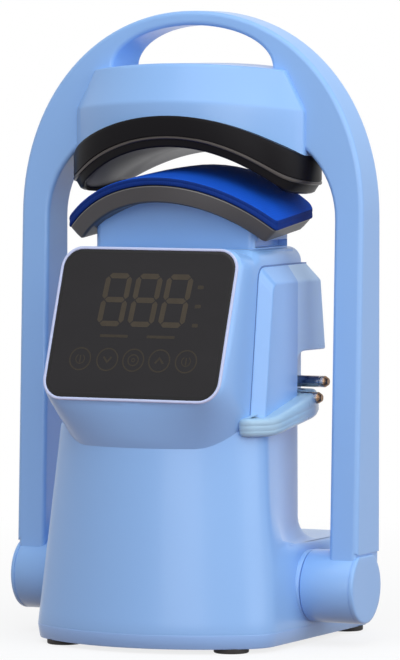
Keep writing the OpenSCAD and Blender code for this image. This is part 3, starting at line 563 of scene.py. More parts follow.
def place_mesh(name, mesh, body, replaces=(), sharp=38.0, bevel=0.0, weighted=False):
    """Links a mesh as an object, shades it and ties it to its body."""
    mesh.polygons.foreach_set("use_smooth", [True] * len(mesh.polygons))
    mesh.set_sharp_from_angle(angle=math.radians(sharp))
    made = bpy.data.objects.new(name, mesh)
    bpy.context.scene.collection.objects.link(made)
    if bevel:
        edge = made.modifiers.new("edge", "BEVEL")
        edge.width = bevel
        edge.segments = 3
        edge.limit_method = "ANGLE"
        edge.angle_limit = math.radians(18)
        edge.use_clamp_overlap = False
        edge.harden_normals = True
    if weighted:
        even = made.modifiers.new("even", "WEIGHTED_NORMAL")
        even.keep_sharp = True
    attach(made, body)
    if replaces:
        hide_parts(*replaces)
    return made


def mix_points(a, b, t):
    """Points between two matched rings, by one share or one for each point."""
    shares = t if isinstance(t, list) else [t] * len(a)
    return [tuple(u + (v - u) * s for u, v in zip(p, q)) for p, q, s in zip(a, b, shares)]


def smooth_step(low, high, v):
    """0 below low, 1 above high, eased between."""
    t = min(1.0, max(0.0, (v - low) / (high - low)))
    return t * t * (3 - 2 * t)


def flipped(points):
    """The mirror image across X of flat points, in reverse."""
    return [(-x, y) for x, y in reversed(points)]


def arc(centre, radius, angles):
    """Points round a centre, at angles in degrees."""
    turns = [math.radians(a) for a in angles]
    return [(centre[0] + radius * math.cos(a), centre[1] + radius * math.sin(a)) for a in turns]


def squared_oval(centre, half, exponent, angles):
    """Points of an oval with these half sizes, squarer where the exponent is above 2."""
    return [
        tuple(c + h * math.copysign(abs(v) ** (2 / exponent), v) for c, h, v in zip(centre, half, point))
        for point in arc((0.0, 0.0), 1.0, angles)
    ]


def bow(apex, half_w, sag, cut, steps):
    """A shallow arc from side to side that falls by sag towards its ends, cut back at both."""
    radius = (half_w * half_w + sag * sag) / (2 * abs(sag))
    half = math.asin(half_w / radius) - cut / radius
    angles = [half * (k / steps - 1) for k in range(2 * steps + 1)]
    return [(radius * math.sin(a), apex + math.copysign(radius - radius * math.cos(a), sag)) for a in angles]


def grow(ring, by):
    """A flat counter-clockwise ring moved outwards, by one distance or one for each point."""
    sizes = by if isinstance(by, list) else [by] * len(ring)
    grown = []
    for i, (p, d) in enumerate(zip(ring, sizes)):
        a, b = ring[i - 1], ring[(i + 1) % len(ring)]
        dx, dy = b[0] - a[0], b[1] - a[1]
        size = math.hypot(dx, dy) or 1.0
        grown.append((p[0] + dy / size * d, p[1] - dx / size * d, *p[2:]))
    return grown


def shrunk(ring, keep, middle=0.0):
    """A flat ring drawn in to a point of the Y axis."""
    return [(x * keep, middle + (y - middle) * keep) for x, y in ring]


def bend(a, control, b, n):
    """Curve from a to b that leans to control, without its ends."""
    return [
        tuple((1 - t) ** 2 * p + 2 * t * (1 - t) * q + t * t * r for p, q, r in zip(a, control, b))
        for t in (k / (n + 1) for k in range(1, n + 1))
    ]


def line(a, b, n):
    """Even points from a to b, both ends in."""
    return [tuple(p + (q - p) * k / (n - 1) for p, q in zip(a, b)) for k in range(n)]


def rounded_rect(half_w, half_h, corner, steps=8, low_corner=None, sides=2):
    """Ring of a rectangle with round corners, the lower two of low_corner and sides points to a side."""
    low = corner if low_corner is None else low_corner
    corners = ((-1, -1, 180, low), (1, -1, 270, low), (1, 1, 0, corner), (-1, 1, 90, corner))
    arcs = [
        arc((sx * (half_w - r), sy * (half_h - r)), r, (start + 90 * k / steps for k in range(steps + 1)))
        for sx, sy, start, r in corners
    ]
    ring = []
    for turn, following in zip(arcs, arcs[1:] + arcs[:1]):
        ring += turn + line(turn[-1], following[0], sides)[1:-1]
    return ring


# Places and sizes shared by the pieces, from the frame and its drawing, in millimetres


def node_box(name):
    """A node's lowest and highest corners in millimetres."""
    return [[v * 1000 for v in corner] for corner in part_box(name)]


def pocket(name, edge, behind, ahead):
    """The box of a node with its edges moved in, its back further in and its front further out."""
    low, high = node_box(name)
    return (
        (low[0] + edge, low[1] - behind, low[2] + edge), (high[0] - edge, high[1] + ahead, high[2] - edge)
    )


BASE_LOW, BASE_HIGH = node_box("base_shell")
BASE_FRONT, BASE_REAR = BASE_LOW[1], BASE_HIGH[1]
PAN_Z, COLUMN_TOP, PLATFORM_Z = BASE_LOW[2], BASE_HIGH[2], 69.0
COVER_POCKET = pocket("rear_cover", -0.3, 6.0, 2.0)
BASE_SIDE, BASE_FRONT_W = 92.0, 89.0
COLUMN_FRONT_W, COLUMN_SIDE, COLUMN_LEAN = 78.0, 67.0, 15.0
WALL_REAR = node_box("control_housing")[1][1] - 0.6
FRONT_BOW = 38.0
HOUSING_TOP = node_box("control_housing")[1][2]
HOUSING_SIDE, HOUSING_LOW, CHIN_R = 70.0, 151.0, 101.3
HUB, HUB_R, HUB_IN = (3.0, 40.0), 25.0, 91.0
ARM_SIDE, ARCH_REAR, ARCH_TOP = node_box("arch_shell")[1]
HEAD_Y = 8.0
HEAD_RISE, FORM_RISE = math.tan(math.radians(-2.5)), math.tan(math.radians(4))
HEAD_CURVE, FORM_CURVE = (220.0, HEAD_RISE), (209.0, FORM_RISE)
PAD_R, PLATE_R, PLATE_T = 116.0, 109.8, 12.0
GLASS_MIDDLE = (-82.0, 221.0)
GLASS_TILT = math.radians(20)
# Half width, half height and corner of the glass and of the neck
GLASS, NECK = (64.5, 52.5, 13.0), (61.0, 29.0, 6.0)
# How far the rings inside a capped face are drawn in
FILL_SHARES = (0.06, 0.3, 0.55, 0.8, 0.95)


def saddle(x, y, radius, curve):
    """Height over a point of a curved press surface; curve is its axis and its rise to the back."""
    return curve[0] + math.sqrt(max(0.0, radius * radius - x * x)) + (y - HEAD_Y) * curve[1]


def on_glass(p, q, lift=0.0):
    """A point on the slanted display: p across, q up its slope, lift out of it."""
    c, s = math.cos(GLASS_TILT), math.sin(GLASS_TILT)
    return p, GLASS_MIDDLE[0] + q * s - lift * c, GLASS_MIDDLE[1] + q * c + lift * s


def bowed_outline(z, side, rear, front_cut, rear_cut):
    """Ring of the base or column at a height: bowed front, straight sides, flat back."""
    rise = (z - PAN_Z) / (COLUMN_TOP - PAN_Z)
    w = BASE_FRONT_W + (COLUMN_FRONT_W - BASE_FRONT_W) * rise
    front = BASE_FRONT + COLUMN_LEAN * rise
    face = bow(front, w, FRONT_BOW, front_cut, 20)
    corner = (w, front + FRONT_BOW)
    run = math.hypot(side - w, rear - corner[1])
    way = ((side - w) / run, (rear - corner[1]) / run)
    side_start = (corner[0] + way[0] * front_cut, corner[1] + way[1] * front_cut)
    side_end = (side - way[0] * rear_cut, rear - way[1] * rear_cut)
    right = bend(face[-1], corner, side_start, 7)
    right += line(side_start, side_end, 9)
    right += bend(side_end, (side, rear), (side - rear_cut, rear), 7)
    back = line((side - rear_cut, rear), (rear_cut - side, rear), 11)
    return [(x, y, z) for x, y in face + right + back + flipped(right)]


# Operators, one for each group of pieces


class PRESS_OT_base(bpy.types.Operator):
    """Base shell with its column, hub bosses, bottom pan and feet"""

    bl_idname = "press.base"
    bl_label = "Base"

    def execute(self, context):
        fillet = context.scene.press_sizes.platform_fillet * 1000

        def base(z):
            return bowed_outline(z, BASE_SIDE, BASE_REAR, 14.0, 8.0)

        def column(z):
            return bowed_outline(z, COLUMN_SIDE, WALL_REAR, 13.0, 11.0)

        # The platform's edge and fillet fade out where base and column share the bowed front
        def apart(ring, other):
            return [min(1.0, min(math.dist(p, q) for q in other) / (fillet + 9.0)) for p in ring]

        foot, post = base(PLATFORM_Z), column(PLATFORM_Z)
        edge_share, fillet_share = apart(foot, post), apart(post, foot)
        stepped = [base(z) for z in (40.0, 48.0, 55.0)]
        for down, inset in ((6.5, 0.0), (4.4, 0.35), (2.6, 1.2), (1.2, 2.7), (0.4, 4.6), (0.0, 7.0)):
            stepped.append(grow(base(PLATFORM_Z - down), [-inset * share for share in edge_share]))
        for turn in map(math.radians, range(0, 91, 15)):
            ring = column(PLATFORM_Z + fillet * (1 - math.cos(turn)))
            stepped.append(grow(ring, [fillet * (1 - math.sin(turn)) * share for share in fillet_share]))
        stepped += [column(z) for z in (92.0, 102.0, 112.0)]

        # Ahead of the platform the side sweeps from the base to the column
        shell = [grow(base(PAN_Z + up), -inset) for up, inset in ((0, 5.0), (0, 0.08), (0.3, 0.0))]
        shell += [base(z) for z in (22.0, 32.0)]
        for row, ring in enumerate(stepped):
            t = row / (len(stepped) - 1)
            z = stepped[0][0][2] + (stepped[-1][0][2] - stepped[0][0][2]) * t
            swept = mix_points(base(z), column(z), smooth_step(0.0, 1.0, t))
            shell.append(mix_points(swept, ring, [smooth_step(-50.0, -8.0, p[1]) for p in swept]))
        shell += [column(z) for z in (123.0, 134.0, 145.0)]
        for down, inset in ((3.0, 0.0), (1.6, 0.4), (0.6, 1.2), (0.1, 2.6), (0.0, 5.0), (0.0, 12.0)):
            shell.append(grow(column(COLUMN_TOP - down), -inset))

        # The service cover, the inlet and the switch sit in pockets of the rear walls
        pockets = [COVER_POCKET, pocket("power_inlet", 2.7, 0.5, 0.0), pocket("switch_frame", 1.7, 0.5, 0.0)]
        piece("base_body", Solid().loft(shell), "base", "shell", ["base_shell"], weld=True, pockets=pockets)

        boss = (
            (82.0, 24.6), (90.2, 24.6), (90.5, 24.4), (90.6, 24.0), (90.6, 22.0), (90.0, 21.6), (90.0, 9.0)
        )
        piece("hub_bosses", Solid().lathe(boss, HUB).mirrored(), "base", "shell")

        pan = (
            (3.15, 9.0), (3.15, 3.8), (3.3, 3.0), (4.0, 2.4), (12.4, 0.02), (12.8, 0.03), (12.95, 0.15),
            (12.95, 6.0),
        )
        pan_rings = [grow(base(z), -inset) for z, inset in pan]
        piece("bottom_pan", Solid().loft(pan_rings), "base", "band", ["base_pan"])

        tread = (
            (3.6, 11.4), (3.0, 12.0), (0.9, 12.0), (0.3, 11.7), (0.0, 11.0), (0.0, 7.4), (0.6, 6.8),
            (0.6, 1.5),
        )
        feet = Solid()
        for spot in ((63.0, -71.0), (78.0, 87.0)):
            feet.lathe(tread, spot, n=40, along="Z")
        piece("rubber_feet", feet.mirrored(), "base", "rubber_feet", ["base_feet"])
        return {"FINISHED"}


class PRESS_OT_housing(bpy.types.Operator):
    """Control housing with its slanted face, chin and shoulders, and the collar round the neck"""

    bl_idname = "press.housing"
    bl_label = "Control housing"

    def execute(self, context):
        rear, side, low_z, top = WALL_REAR, HOUSING_SIDE, HOUSING_LOW, HOUSING_TOP

        def facing(grown, lift, corner):
            low, high = (on_glass(0, end * (GLASS[1] + grown), lift)[1:] for end in (-1, 1))
            return low, high, GLASS[0] + grown, corner, corner, 0.0

        # Lower and upper point (y, z) of each section, half width, lower and upper corner, how far it bows
        sections = [
            facing(0.5, -1.0, 13.5), facing(1.9, -0.8, 15.0), facing(2.6, -1.9, 15.6),
            ((-98.9, 166.2), (-60.4, 272.2), 68.0, 17.5, 15.0, 0.08),
            ((-98.1, 161.5), (-57.5, 271.4), 68.8, 20.0, 14.5, 0.22),
            ((-96.4, 154.5), (-54.0, 270.4), 69.4, 23.0, 13.5, 0.46),
            ((-94.0, 146.0), (-50.5, 269.4), 69.8, 26.0, 12.5, 0.76),
            ((-91.0, 138.2), (-47.0, 268.6), side, 29.0, 11.5, 1.0),
            ((-87.0, 132.5), (-44.0, 268.1), side, 31.0, 11.0, 1.0),
            ((-80.0, 129.5), (-40.0, top), side, 31.0, 10.5, 1.0),
            ((-66.0, 133.0), (-34.0, top), side, 24.0, 10.0, 0.7),
            ((-52.0, 144.0), (-26.0, top), side, 10.0, 10.0, 0.3),
            ((-42.0, low_z), (-18.0, top), side, 4.0, 10.0, 0.0),
            ((-20.0, low_z), (-6.0, top), side - 0.4, 4.0, 10.0, 0.0),
            ((4.0, low_z), (8.0, top), side - 1.0, 4.0, 10.0, 0.0),
            ((rear - 2.4, low_z), (rear - 2.4, top), side - 2.2, 4.0, 10.0, 0.0),
            ((rear - 0.7, low_z + 0.4), (rear - 0.7, top - 0.6), side - 2.8, 4.0, 9.6, 0.0),
            ((rear, low_z + 1.4), (rear, top - 2.2), side - 4.4, 4.0, 8.5, 0.0),
            ((rear, low_z + 9.0), (rear, top - 10.0), side - 12.0, 3.0, 4.0, 0.0),
        ]
        rings = []
        for low, high, half_w, low_corner, corner, bowed in sections:
            size = math.dist(low, high)
            ring = []
            for p, q in rounded_rect(half_w, size / 2, corner, 8, low_corner, 16):
                share = q / size + 0.5
                chin = CHIN_R - math.sqrt(CHIN_R ** 2 - p * p)
                y, z = (a + (b - a) * share for a, b in zip(low, high))
                ring.append((p, y + chin * bowed * (1 - smooth_step(0.0, 0.42, share)), z))
            rings.append(ring)
        piece(
            "housing_body", Solid().loft(rings), "base", "shell", ["control_housing"], sharp=32.0,
            pockets=[COVER_POCKET]
        )

        profile = ((0.9, 264.0), (0.9, 269.4), (1.3, 269.9), (3.6, 269.9), (4.3, 269.2), (4.6, 264.0))
        collar = [[(x, y, z) for x, y in rounded_rect(*(size + out for size in NECK))] for out, z in profile]
        piece("neck_collar", Solid().loft(collar, closed=True), "base", "shell")
        return {"FINISHED"}


class PRESS_OT_display(bpy.types.Operator):
    """Touch glass with its rim, digits and touch marks"""

    bl_idname = "press.display"
    bl_label = "Display"

    def execute(self, context):
        sizes = context.scene.press_sizes
        rim = sizes.rim_width * 1000

        def frames(profile):
            return [
                [on_glass(p, q, lift) for p, q in rounded_rect(*(size + out for size in GLASS))]
                for out, lift in profile
            ]

        bezel = (
            (0.15, -3.2), (0.15, 0.2), (0.45, 0.45), (rim - 0.5, 0.5), (rim - 0.1, 0.25), (rim, -0.2),
            (rim, -3.2),
        )
        piece("display_rim", Solid().loft(frames(bezel), closed=True), "base", "rim", ["display_bezel"])
        pane = ((0.0, -3.0), (0.0, -0.5), (-0.12, -0.14), (-0.5, 0.0), (-2.6, 0.0))
        glass = Solid().loft(frames(pane), rows=range(4))
        piece("display_glass", glass, "base", "black_glass", ["touch_glass"], ["display_glass", "glass_edge"])

        marks = Solid()

        def slab(middle, points, kind=1):
            spots = [(middle[0] + p, middle[1] + q) for p, q in points]
            marks.loft([[on_glass(p, q, lift) for p, q in spots] for lift in (-0.3, 0.05)], kind)

        high = sizes.digit_height * 500
        wide, bar, slant = 8.0, 1.9, 0.06

        def stroke(middle, a, b):
            size = math.dist(a, b)
            along = ((b[0] - a[0]) / size, (b[1] - a[1]) / size)
            outline = ((0.5, 0.0), (bar + 0.5, -1), (size - bar - 0.5, -1), (size - 0.5, 0.0),
                       (size - bar - 0.5, 1), (bar + 0.5, 1))
            slab(middle, [
                (a[0] + along[0] * s - along[1] * t * bar + slant * (a[1] + along[1] * s),
                 a[1] + along[1] * s + along[0] * t * bar)
                for s, t in outline
            ], 0)

        for across in (-22.0, 1.0, 24.0):
            for q in (-high, 0.0, high):
                stroke((across, 17.0), (-wide, q), (wide, q))
            for p in (-wide, wide):
                stroke((across, 17.0), (p, -high), (p, 0.0))
                stroke((across, 17.0), (p, 0.0), (p, high))
        for across in (-18.3, 16.8):
            slab((across, -8.7), rounded_rect(10.5, 1.0, 0.6, 2))
        for up in (27.0, 13.5, 0.0):
            slab((41.0, up), rounded_rect(2.2, 1.3, 0.6, 2))

        def band(middle, outer, inner, start=0.0, turn=360.0):
            n = max(6, int(turn / 10))
            for k in range(n):
                ends = [start + turn * (k + j) / n for j in (0, 1)]
                near, far = arc((0.0, 0.0), inner, ends), arc((0.0, 0.0), outer, ends)
                slab(middle, [near[0], far[0], far[1], near[1]])

        for i, across in enumerate((-41.0, -20.5, -1.0, 18.5, 38.5)):
            spot = (across, -25.4)
            band(spot, 8.2, 7.3)
            if i in (0, 4):
                band(spot, 3.6, 2.9, 120, 300)
                slab(spot, rounded_rect(0.45, 2.6, 0.3, 2))
            elif i == 2:
                band(spot, 4.2, 3.4)
                band(spot, 1.5, 0.8)
            else:
                way = 1 if i == 3 else -1
                arrow = ((-3.6, -1.6), (0.0, 2.8), (3.6, -1.6), (2.4, -2.2), (0.0, 0.9), (-2.4, -2.2))
                slab(spot, [(p, q * way) for p, q in arrow])
        piece("display_marks", marks, "base", "digits", finishes=["digit_print", "mark_print"])
        return {"FINISHED"}


class PRESS_OT_strap_hook(bpy.types.Operator):
    """Strap hook on the right side: panel, hood, lip and two posts"""

    bl_idname = "press.strap_hook"
    bl_label = "Strap hook"

    def execute(self, context):
        root, panel_x, top_in, top_out = 66.0, 78.2, 259.4, 248.0
        fold_y, hood_w, hood_h, flare, low_flare = 4.0, 31.0, 48.0, 4.6, 3.0
        notch = [(4.0, 154.0)] + arc((12.0, 192.0), 8.0, (180, 157.5, 135, 112.5, 90))
        inner = [(-57.0, 154.0)] + notch + [(35.0, 200.0), (35.0, top_in), (4.0, top_in), (-34.0, top_in)]
        inner += bend((-34.0, top_in), (-42.2, top_in), (-43.4, 251.0), 3) + [(-43.4, 251.0)]
        outer = [(-50.5, 154.0)] + notch + [(34.6, 200.4), (33.6, top_out), (4.0, top_out), (-28.0, top_out)]
        outer += bend((-28.0, top_out), (-35.6, top_out), (-37.0, 240.0), 3) + [(-37.0, 240.0)]

        def face_x(y, z):
            behind = max(0.0, y - fold_y) / hood_w
            return panel_x + behind * (flare + low_flare * (top_out - z) / hood_h)

        # The panel's face ends at a fold, where the hood flares out behind it
        n = len(inner)
        fold, fold_top = 2 * n + 2, 2 * n + 9
        hook = Solid()
        hook.points = [(root, y, z) for y, z in inner] + [(70.4, y, z) for y, z in inner]
        hook.points += [(face_x(y, z), y, z) for y, z in outer]
        hook.faces = [list(reversed(range(n)))]
        for a in (0, n):
            hook.faces += [[a + i, a + (i + 1) % n, a + n + (i + 1) % n, a + n + i] for i in range(n)]
        hook.faces.append([2 * n, 2 * n + 1, fold] + list(range(fold_top, 3 * n)))
        hook.faces.append(list(range(fold, fold_top + 1)))
        # The hood's faces take the paler finish, painted light against the shade the arm's leg casts on it
        hood = (n + 7, n + 8, n + 9, len(hook.faces) - 1)
        hook.kinds = [1 if k in hood else 0 for k in range(len(hook.faces))]
        piece(
            "hook_body", hook, "base", "shell", ["hook_housing"], ["shell_plastic", "hood_plastic"],
            sharp=6.0, bevel=context.scene.press_sizes.hook_round
        )
        # A thin darker-blue band set into the joint: painted shade of the gap round the hook
        seam = [[(x, y, z) for y, z in grow(inner, 0.8)] for x in (root, 70.05, 70.3)]
        piece("hook_seam", Solid().loft(seam), "base", "band", finishes=["seam_plastic"])

        # The ledge leans up to the back, is drawn up at its front end and thickens to the back
        outline = [
            (root, -69.0), (75.0, -68.5), (83.5, -54.0), (87.0, -44.0), (90.0, 8.0), (84.5, 27.0),
            (root, 28.5),
        ]
        ring = []
        for before, corner, after in zip(outline[-1:] + outline, outline, outline[1:] + outline[:1]):
            cut = min(6.0, math.dist(before, corner) / 2.2, math.dist(after, corner) / 2.2)
            start, end = (
                tuple(c + (o - c) * cut / math.dist(other, corner) for o, c in zip(other, corner))
                for other in (before, after)
            )
            ring += [start] + bend(start, corner, end, 4) + [end]
        lean, pivot_y, pivot_z, front_lift, thicker = math.radians(9), -20.0, 158.0, 3.0, 0.75
        c, s = math.cos(lean), math.sin(lean)

        def ledge_point(x, y, t):
            along = y - pivot_y
            lift = front_lift * smooth_step(48.0, 72.0, -y)
            lift += max(0.0, t) * thicker * smooth_step(-40.0, 22.0, y)
            return x, pivot_y + along * c - t * s, pivot_z + along * s + t * c + lift

        steps = (
            (-8.0, 3.4), (-7.6, 1.7), (-6.8, 0.7), (-5.4, 0.1), (-4.2, 0.0), (-3.8, 0.18), (-3.4, 0.0),
            (-0.4, 0.0), (0.0, 0.18), (0.4, 0.0), (2.0, 0.1), (3.4, 0.5), (4.4, 1.4), (4.9, 2.6), (5.0, 4.0),
            (5.0, 8.0),
        )
        ledge = [[ledge_point(x, y, t) for x, y in grow(ring, -inset)] for t, inset in steps]
        piece("hook_lip", Solid().loft(ledge), "base", "shell", ["hook_ledge"], ["ledge_plastic"], sharp=50.0)

        profile = (
            (root, 4.0), (86.6, 4.0), (86.9, 3.7), (87.4, 3.7), (87.7, 4.0), (90.0, 4.0), (90.6, 3.85),
            (92.4, 2.7), (92.9, 2.3), (93.0, 1.8), (92.8, 0.5),
        )
        posts = Solid().lathe(profile, (23.0, 178.5), n=40).lathe(profile, (12.0, 168.0), n=40)
        piece("posts", posts, "base", "chrome_posts", ["strap_posts"])
        return {"FINISHED"}


def pad_outline(inset):
    """Ring of the cap form seen from above: bowed front, straight back."""
    width, front, sag, back = 73.0, -52.0, 22.0, 30.0
    corner = 6.0 - inset
    bow_r = (width * width + sag * sag) / (2 * sag)
    half = math.degrees(math.asin(width / bow_r))
    right = arc((0.0, front + bow_r), bow_r + corner, (half * k / 20 - 90 for k in range(21)))
    right += arc((width, front + sag), corner, ((half - 90) * (1 - k / 6) for k in range(1, 7)))
    right += line(right[-1], (width - 2 + corner, back), 9)[1:]
    right += arc((width - 2, back), corner, range(15, 91, 15))
    right += line(right[-1], (0.0, back + corner), 9)[1:-1]
    return right + [(0.0, back + corner)] + flipped(right[1:])


def form_rings(rows, squeeze=None):
    """Rings on the curved form. A row is radius, inset and how far it is drawn to the middle."""
    rings = []
    for radius, inset, keep in rows:
        ends = radius / squeeze if squeeze else 1.0
        ring = [(x * ends, y) for x, y in shrunk(pad_outline(inset), keep, -6.0)]
        rings.append([(x, y, saddle(x, y, radius, FORM_CURVE)) for x, y in ring])
    return rings


class PRESS_OT_cap_form(bpy.types.Operator):
    """Rising cap form: neck, painted plate and blue pad"""

    bl_idname = "press.cap_form"
    bl_label = "Cap form"

    def execute(self, context):
        crown = context.scene.press_sizes.pad_crown * 1000
        seat = PLATE_R - PLATE_T
        corners = rounded_rect(*NECK)
        ring = []
        for a, b in zip(corners, corners[1:] + corners[:1]):
            ring += line(a, b, max(2, int(math.dist(a, b) / 4)))[:-1]

        # A slot runs along each side of the neck, between its corners
        slot_x, slot_y = 60.5, 27.0
        rows = (
            (221.0, 0.0), (250.0, 0.0), (271.4, 0.0), (271.6, 0.3), (271.7, 7.0), (276.0, 7.0), (276.1, 0.3),
            (276.3, 0.0),
        )
        neck = [
            [(x - math.copysign(depth, x) * (abs(x) > slot_x and abs(y) < slot_y), y, z) for x, y in ring]
            for z, depth in rows
        ]
        for keep in (1.0, 0.7, 0.35):
            neck.append([(x, y, saddle(x, y, seat, FORM_CURVE)) for x, y in shrunk(ring, keep)])
        piece("form_neck", Solid().loft(neck), "cap_form", "shell", ["neck"])

        under = [(seat, 1.8, keep) for keep in FILL_SHARES]
        edge = [
            (seat + up, inset, 1.0)
            for up, inset in ((0.0, 3.6), (0.4, 2.4), (1.2, 1.5), (5.0, 1.2), (PLATE_T - 1.0, 1.2),
                              (PLATE_T - 0.4, 1.25), (PLATE_T - 0.1, 1.6), (PLATE_T, 2.2))
        ]
        over = [(PLATE_R, 2.2, keep) for keep in reversed(FILL_SHARES)]
        # The two rows at the plate's rounded top edge take a lighter metal, a painted highlight along the
        # edge
        bright = len(under) + 5
        plate = Solid().loft(form_rings(under + edge + over, PLATE_R), rows=(bright - 1, bright))
        painted = ["plate_paint", "plate_edge"]
        piece("form_top_plate", plate, "cap_form", "form_metal", ["form_plate"], painted)

        under = [(PLATE_R + 0.2, 2.0, keep) for keep in FILL_SHARES]
        edge = [
            (PAD_R - down, inset, 1.0)
            for down, inset in ((6.0, 2.0), (5.9, 0.9), (5.4, 0.3), (4.6, 0.0), (3.4, 0.15), (2.9, 0.35),
                                (2.4, 0.15), (1.4, 0.0), (0.7, 0.2), (0.3, 0.7))
        ]
        over = [
            (PAD_R - 0.2 + crown * (1 - keep * keep), 1.5, keep)
            for keep in (1.0, 0.985, 0.95, 0.9, 0.8, 0.68, 0.55, 0.42, 0.3, 0.18, 0.06)
        ]
        # The side rows take the darker cloth: painted shade on the side that faces away from the top light
        shaded_rows = range(len(under) - 1, len(under) + len(edge) - 2)
        pad = Solid().loft(form_rings(under + edge + over), rows=shaded_rows)
        made = piece("blue_pad", pad, "cap_form", "pad", ["form_pad"], ["pad_cloth", "pad_binding"])
        return {"FINISHED"}


class PRESS_OT_arm(bpy.types.Operator):
    """Swinging arch with its two round hubs"""

    bl_idname = "press.arm"
    bl_label = "Arm"

    def execute(self, context):
        edge = context.scene.press_sizes.arch_round * 1000
        leg_w, low, shoulder, spring = 21.3, HUB[1], 180.0, 292.0
        hole_w, hole_h, hole_z, hole_narrowing = 60.5, 29.0, 394.0, 0.88
        front, front_lean = -13.6, math.tan(math.radians(2))
        inside, corner, corner_z, step, step_z = ARM_SIDE - leg_w, 62.0, 290.0, 1.2, 63.2
        right = [(inside, low), (inside, shoulder)]
        right += arc((inside - corner, corner_z), corner, range(0, 91, 5))
        opening = [(-x, z) for x, z in right] + list(reversed(right))
        crown = squared_oval((0.0, spring), (ARM_SIDE, ARCH_TOP - spring), 2.1, range(0, 181, 3))
        foot = [(ARM_SIDE - step, low), (ARM_SIDE - step, step_z), (ARM_SIDE, step_z), (ARM_SIDE, shoulder)]
        handle = squared_oval((0.0, hole_z), (hole_w, hole_h), 2.0, range(0, 181, 4))

        # The outline is drawn flat with rounded edges, then its front and back are set to their places
        half = 14.0
        drawn = bpy.data.curves.new("arch_outline", "CURVE")
        drawn.dimensions = "2D"
        drawn.fill_mode = "BOTH"
        drawn.extrude = (half - edge) / 1000
        drawn.bevel_depth = edge / 1000
        drawn.bevel_resolution = 4
        drawn.offset = -edge / 1000
        for points in (opening + foot + crown + flipped(foot), handle):
            spline = drawn.splines.new("POLY")
            spline.points.add(len(points) - 1)
            for point, (x, z) in zip(spline.points, points):
                point.co = (x / 1000, z / 1000, 0.0, 1.0)
            spline.use_cyclic_u = True
        mesh = solved("arch_body", drawn)
        for vertex in mesh.vertices:
            x, z, depth = (v * 1000 for v in vertex.co)
            if depth < 0:
                y = ARCH_REAR - 0.6 - (half + depth)
                if (x / hole_w) ** 2 + ((z - hole_z) / hole_h) ** 2 < 1.3 and z > hole_z - 4:
                    x *= hole_narrowing
            else:
                y = front + (z - HUB[1]) * front_lean + (half - depth)
            vertex.co = (x / 1000, y / 1000, z / 1000)
        heal(mesh, True)
        mesh.materials.clear()
        mesh.materials.append(finish("shell_plastic"))
        place_mesh("arch_body", mesh, "press_arm", ["arch_shell"], 40.0, weighted=True)

        profile = (
            (HUB_IN, 15.0), (HUB_IN, 24.0), (91.2, 24.6), (91.6, 24.9), (92.2, HUB_R), (126.4, HUB_R),
            (126.9, 24.8), (127.0, 24.4), (127.0, 10.0),
        )
        piece("hub_housings", Solid().lathe(profile, HUB).mirrored(), "press_arm", "shell")

        # The end caps are round with a flat on top, where the leg stands
        flat = math.degrees(math.asin(22.0 / HUB_R))
        ring = arc(HUB, HUB_R, (180 - flat + (180 + 2 * flat) * k / 44 for k in range(45)))
        ring += line(ring[-1], ring[0], 9)[1:-1]
        steps = (
            (126.6, 0.4), (127.3, 0.4), (127.5, 0.0), (129.2, 0.0), (129.9, 0.3), (130.3, 1.0), (130.4, 2.0),
            (130.4, 6.0),
        )
        caps = [[(x, y, z) for y, z in grow(ring, -inset)] for x, inset in steps]
        piece("hub_end_caps", Solid().loft(caps).mirrored(), "press_arm", "shell", ["hub_caps"])
        return {"FINISHED"}


def head_outline(side, front, rear, front_corner, rear_corner):
    """Ring of the head: two bowed faces that meet short sides."""
    cut = 2.5
    face = bow(front, side, front_corner - front, cut, 18)
    back = list(reversed(bow(rear, side, rear_corner - rear, cut, 18)))
    flank = line((side, front_corner + cut), (side, rear_corner - cut), 7)
    right = bend(face[-1], (side, front_corner), flank[0], 2) + flank
    right += bend(flank[-1], (side, rear_corner), back[0], 2)
    return face + right + back + flipped(right)


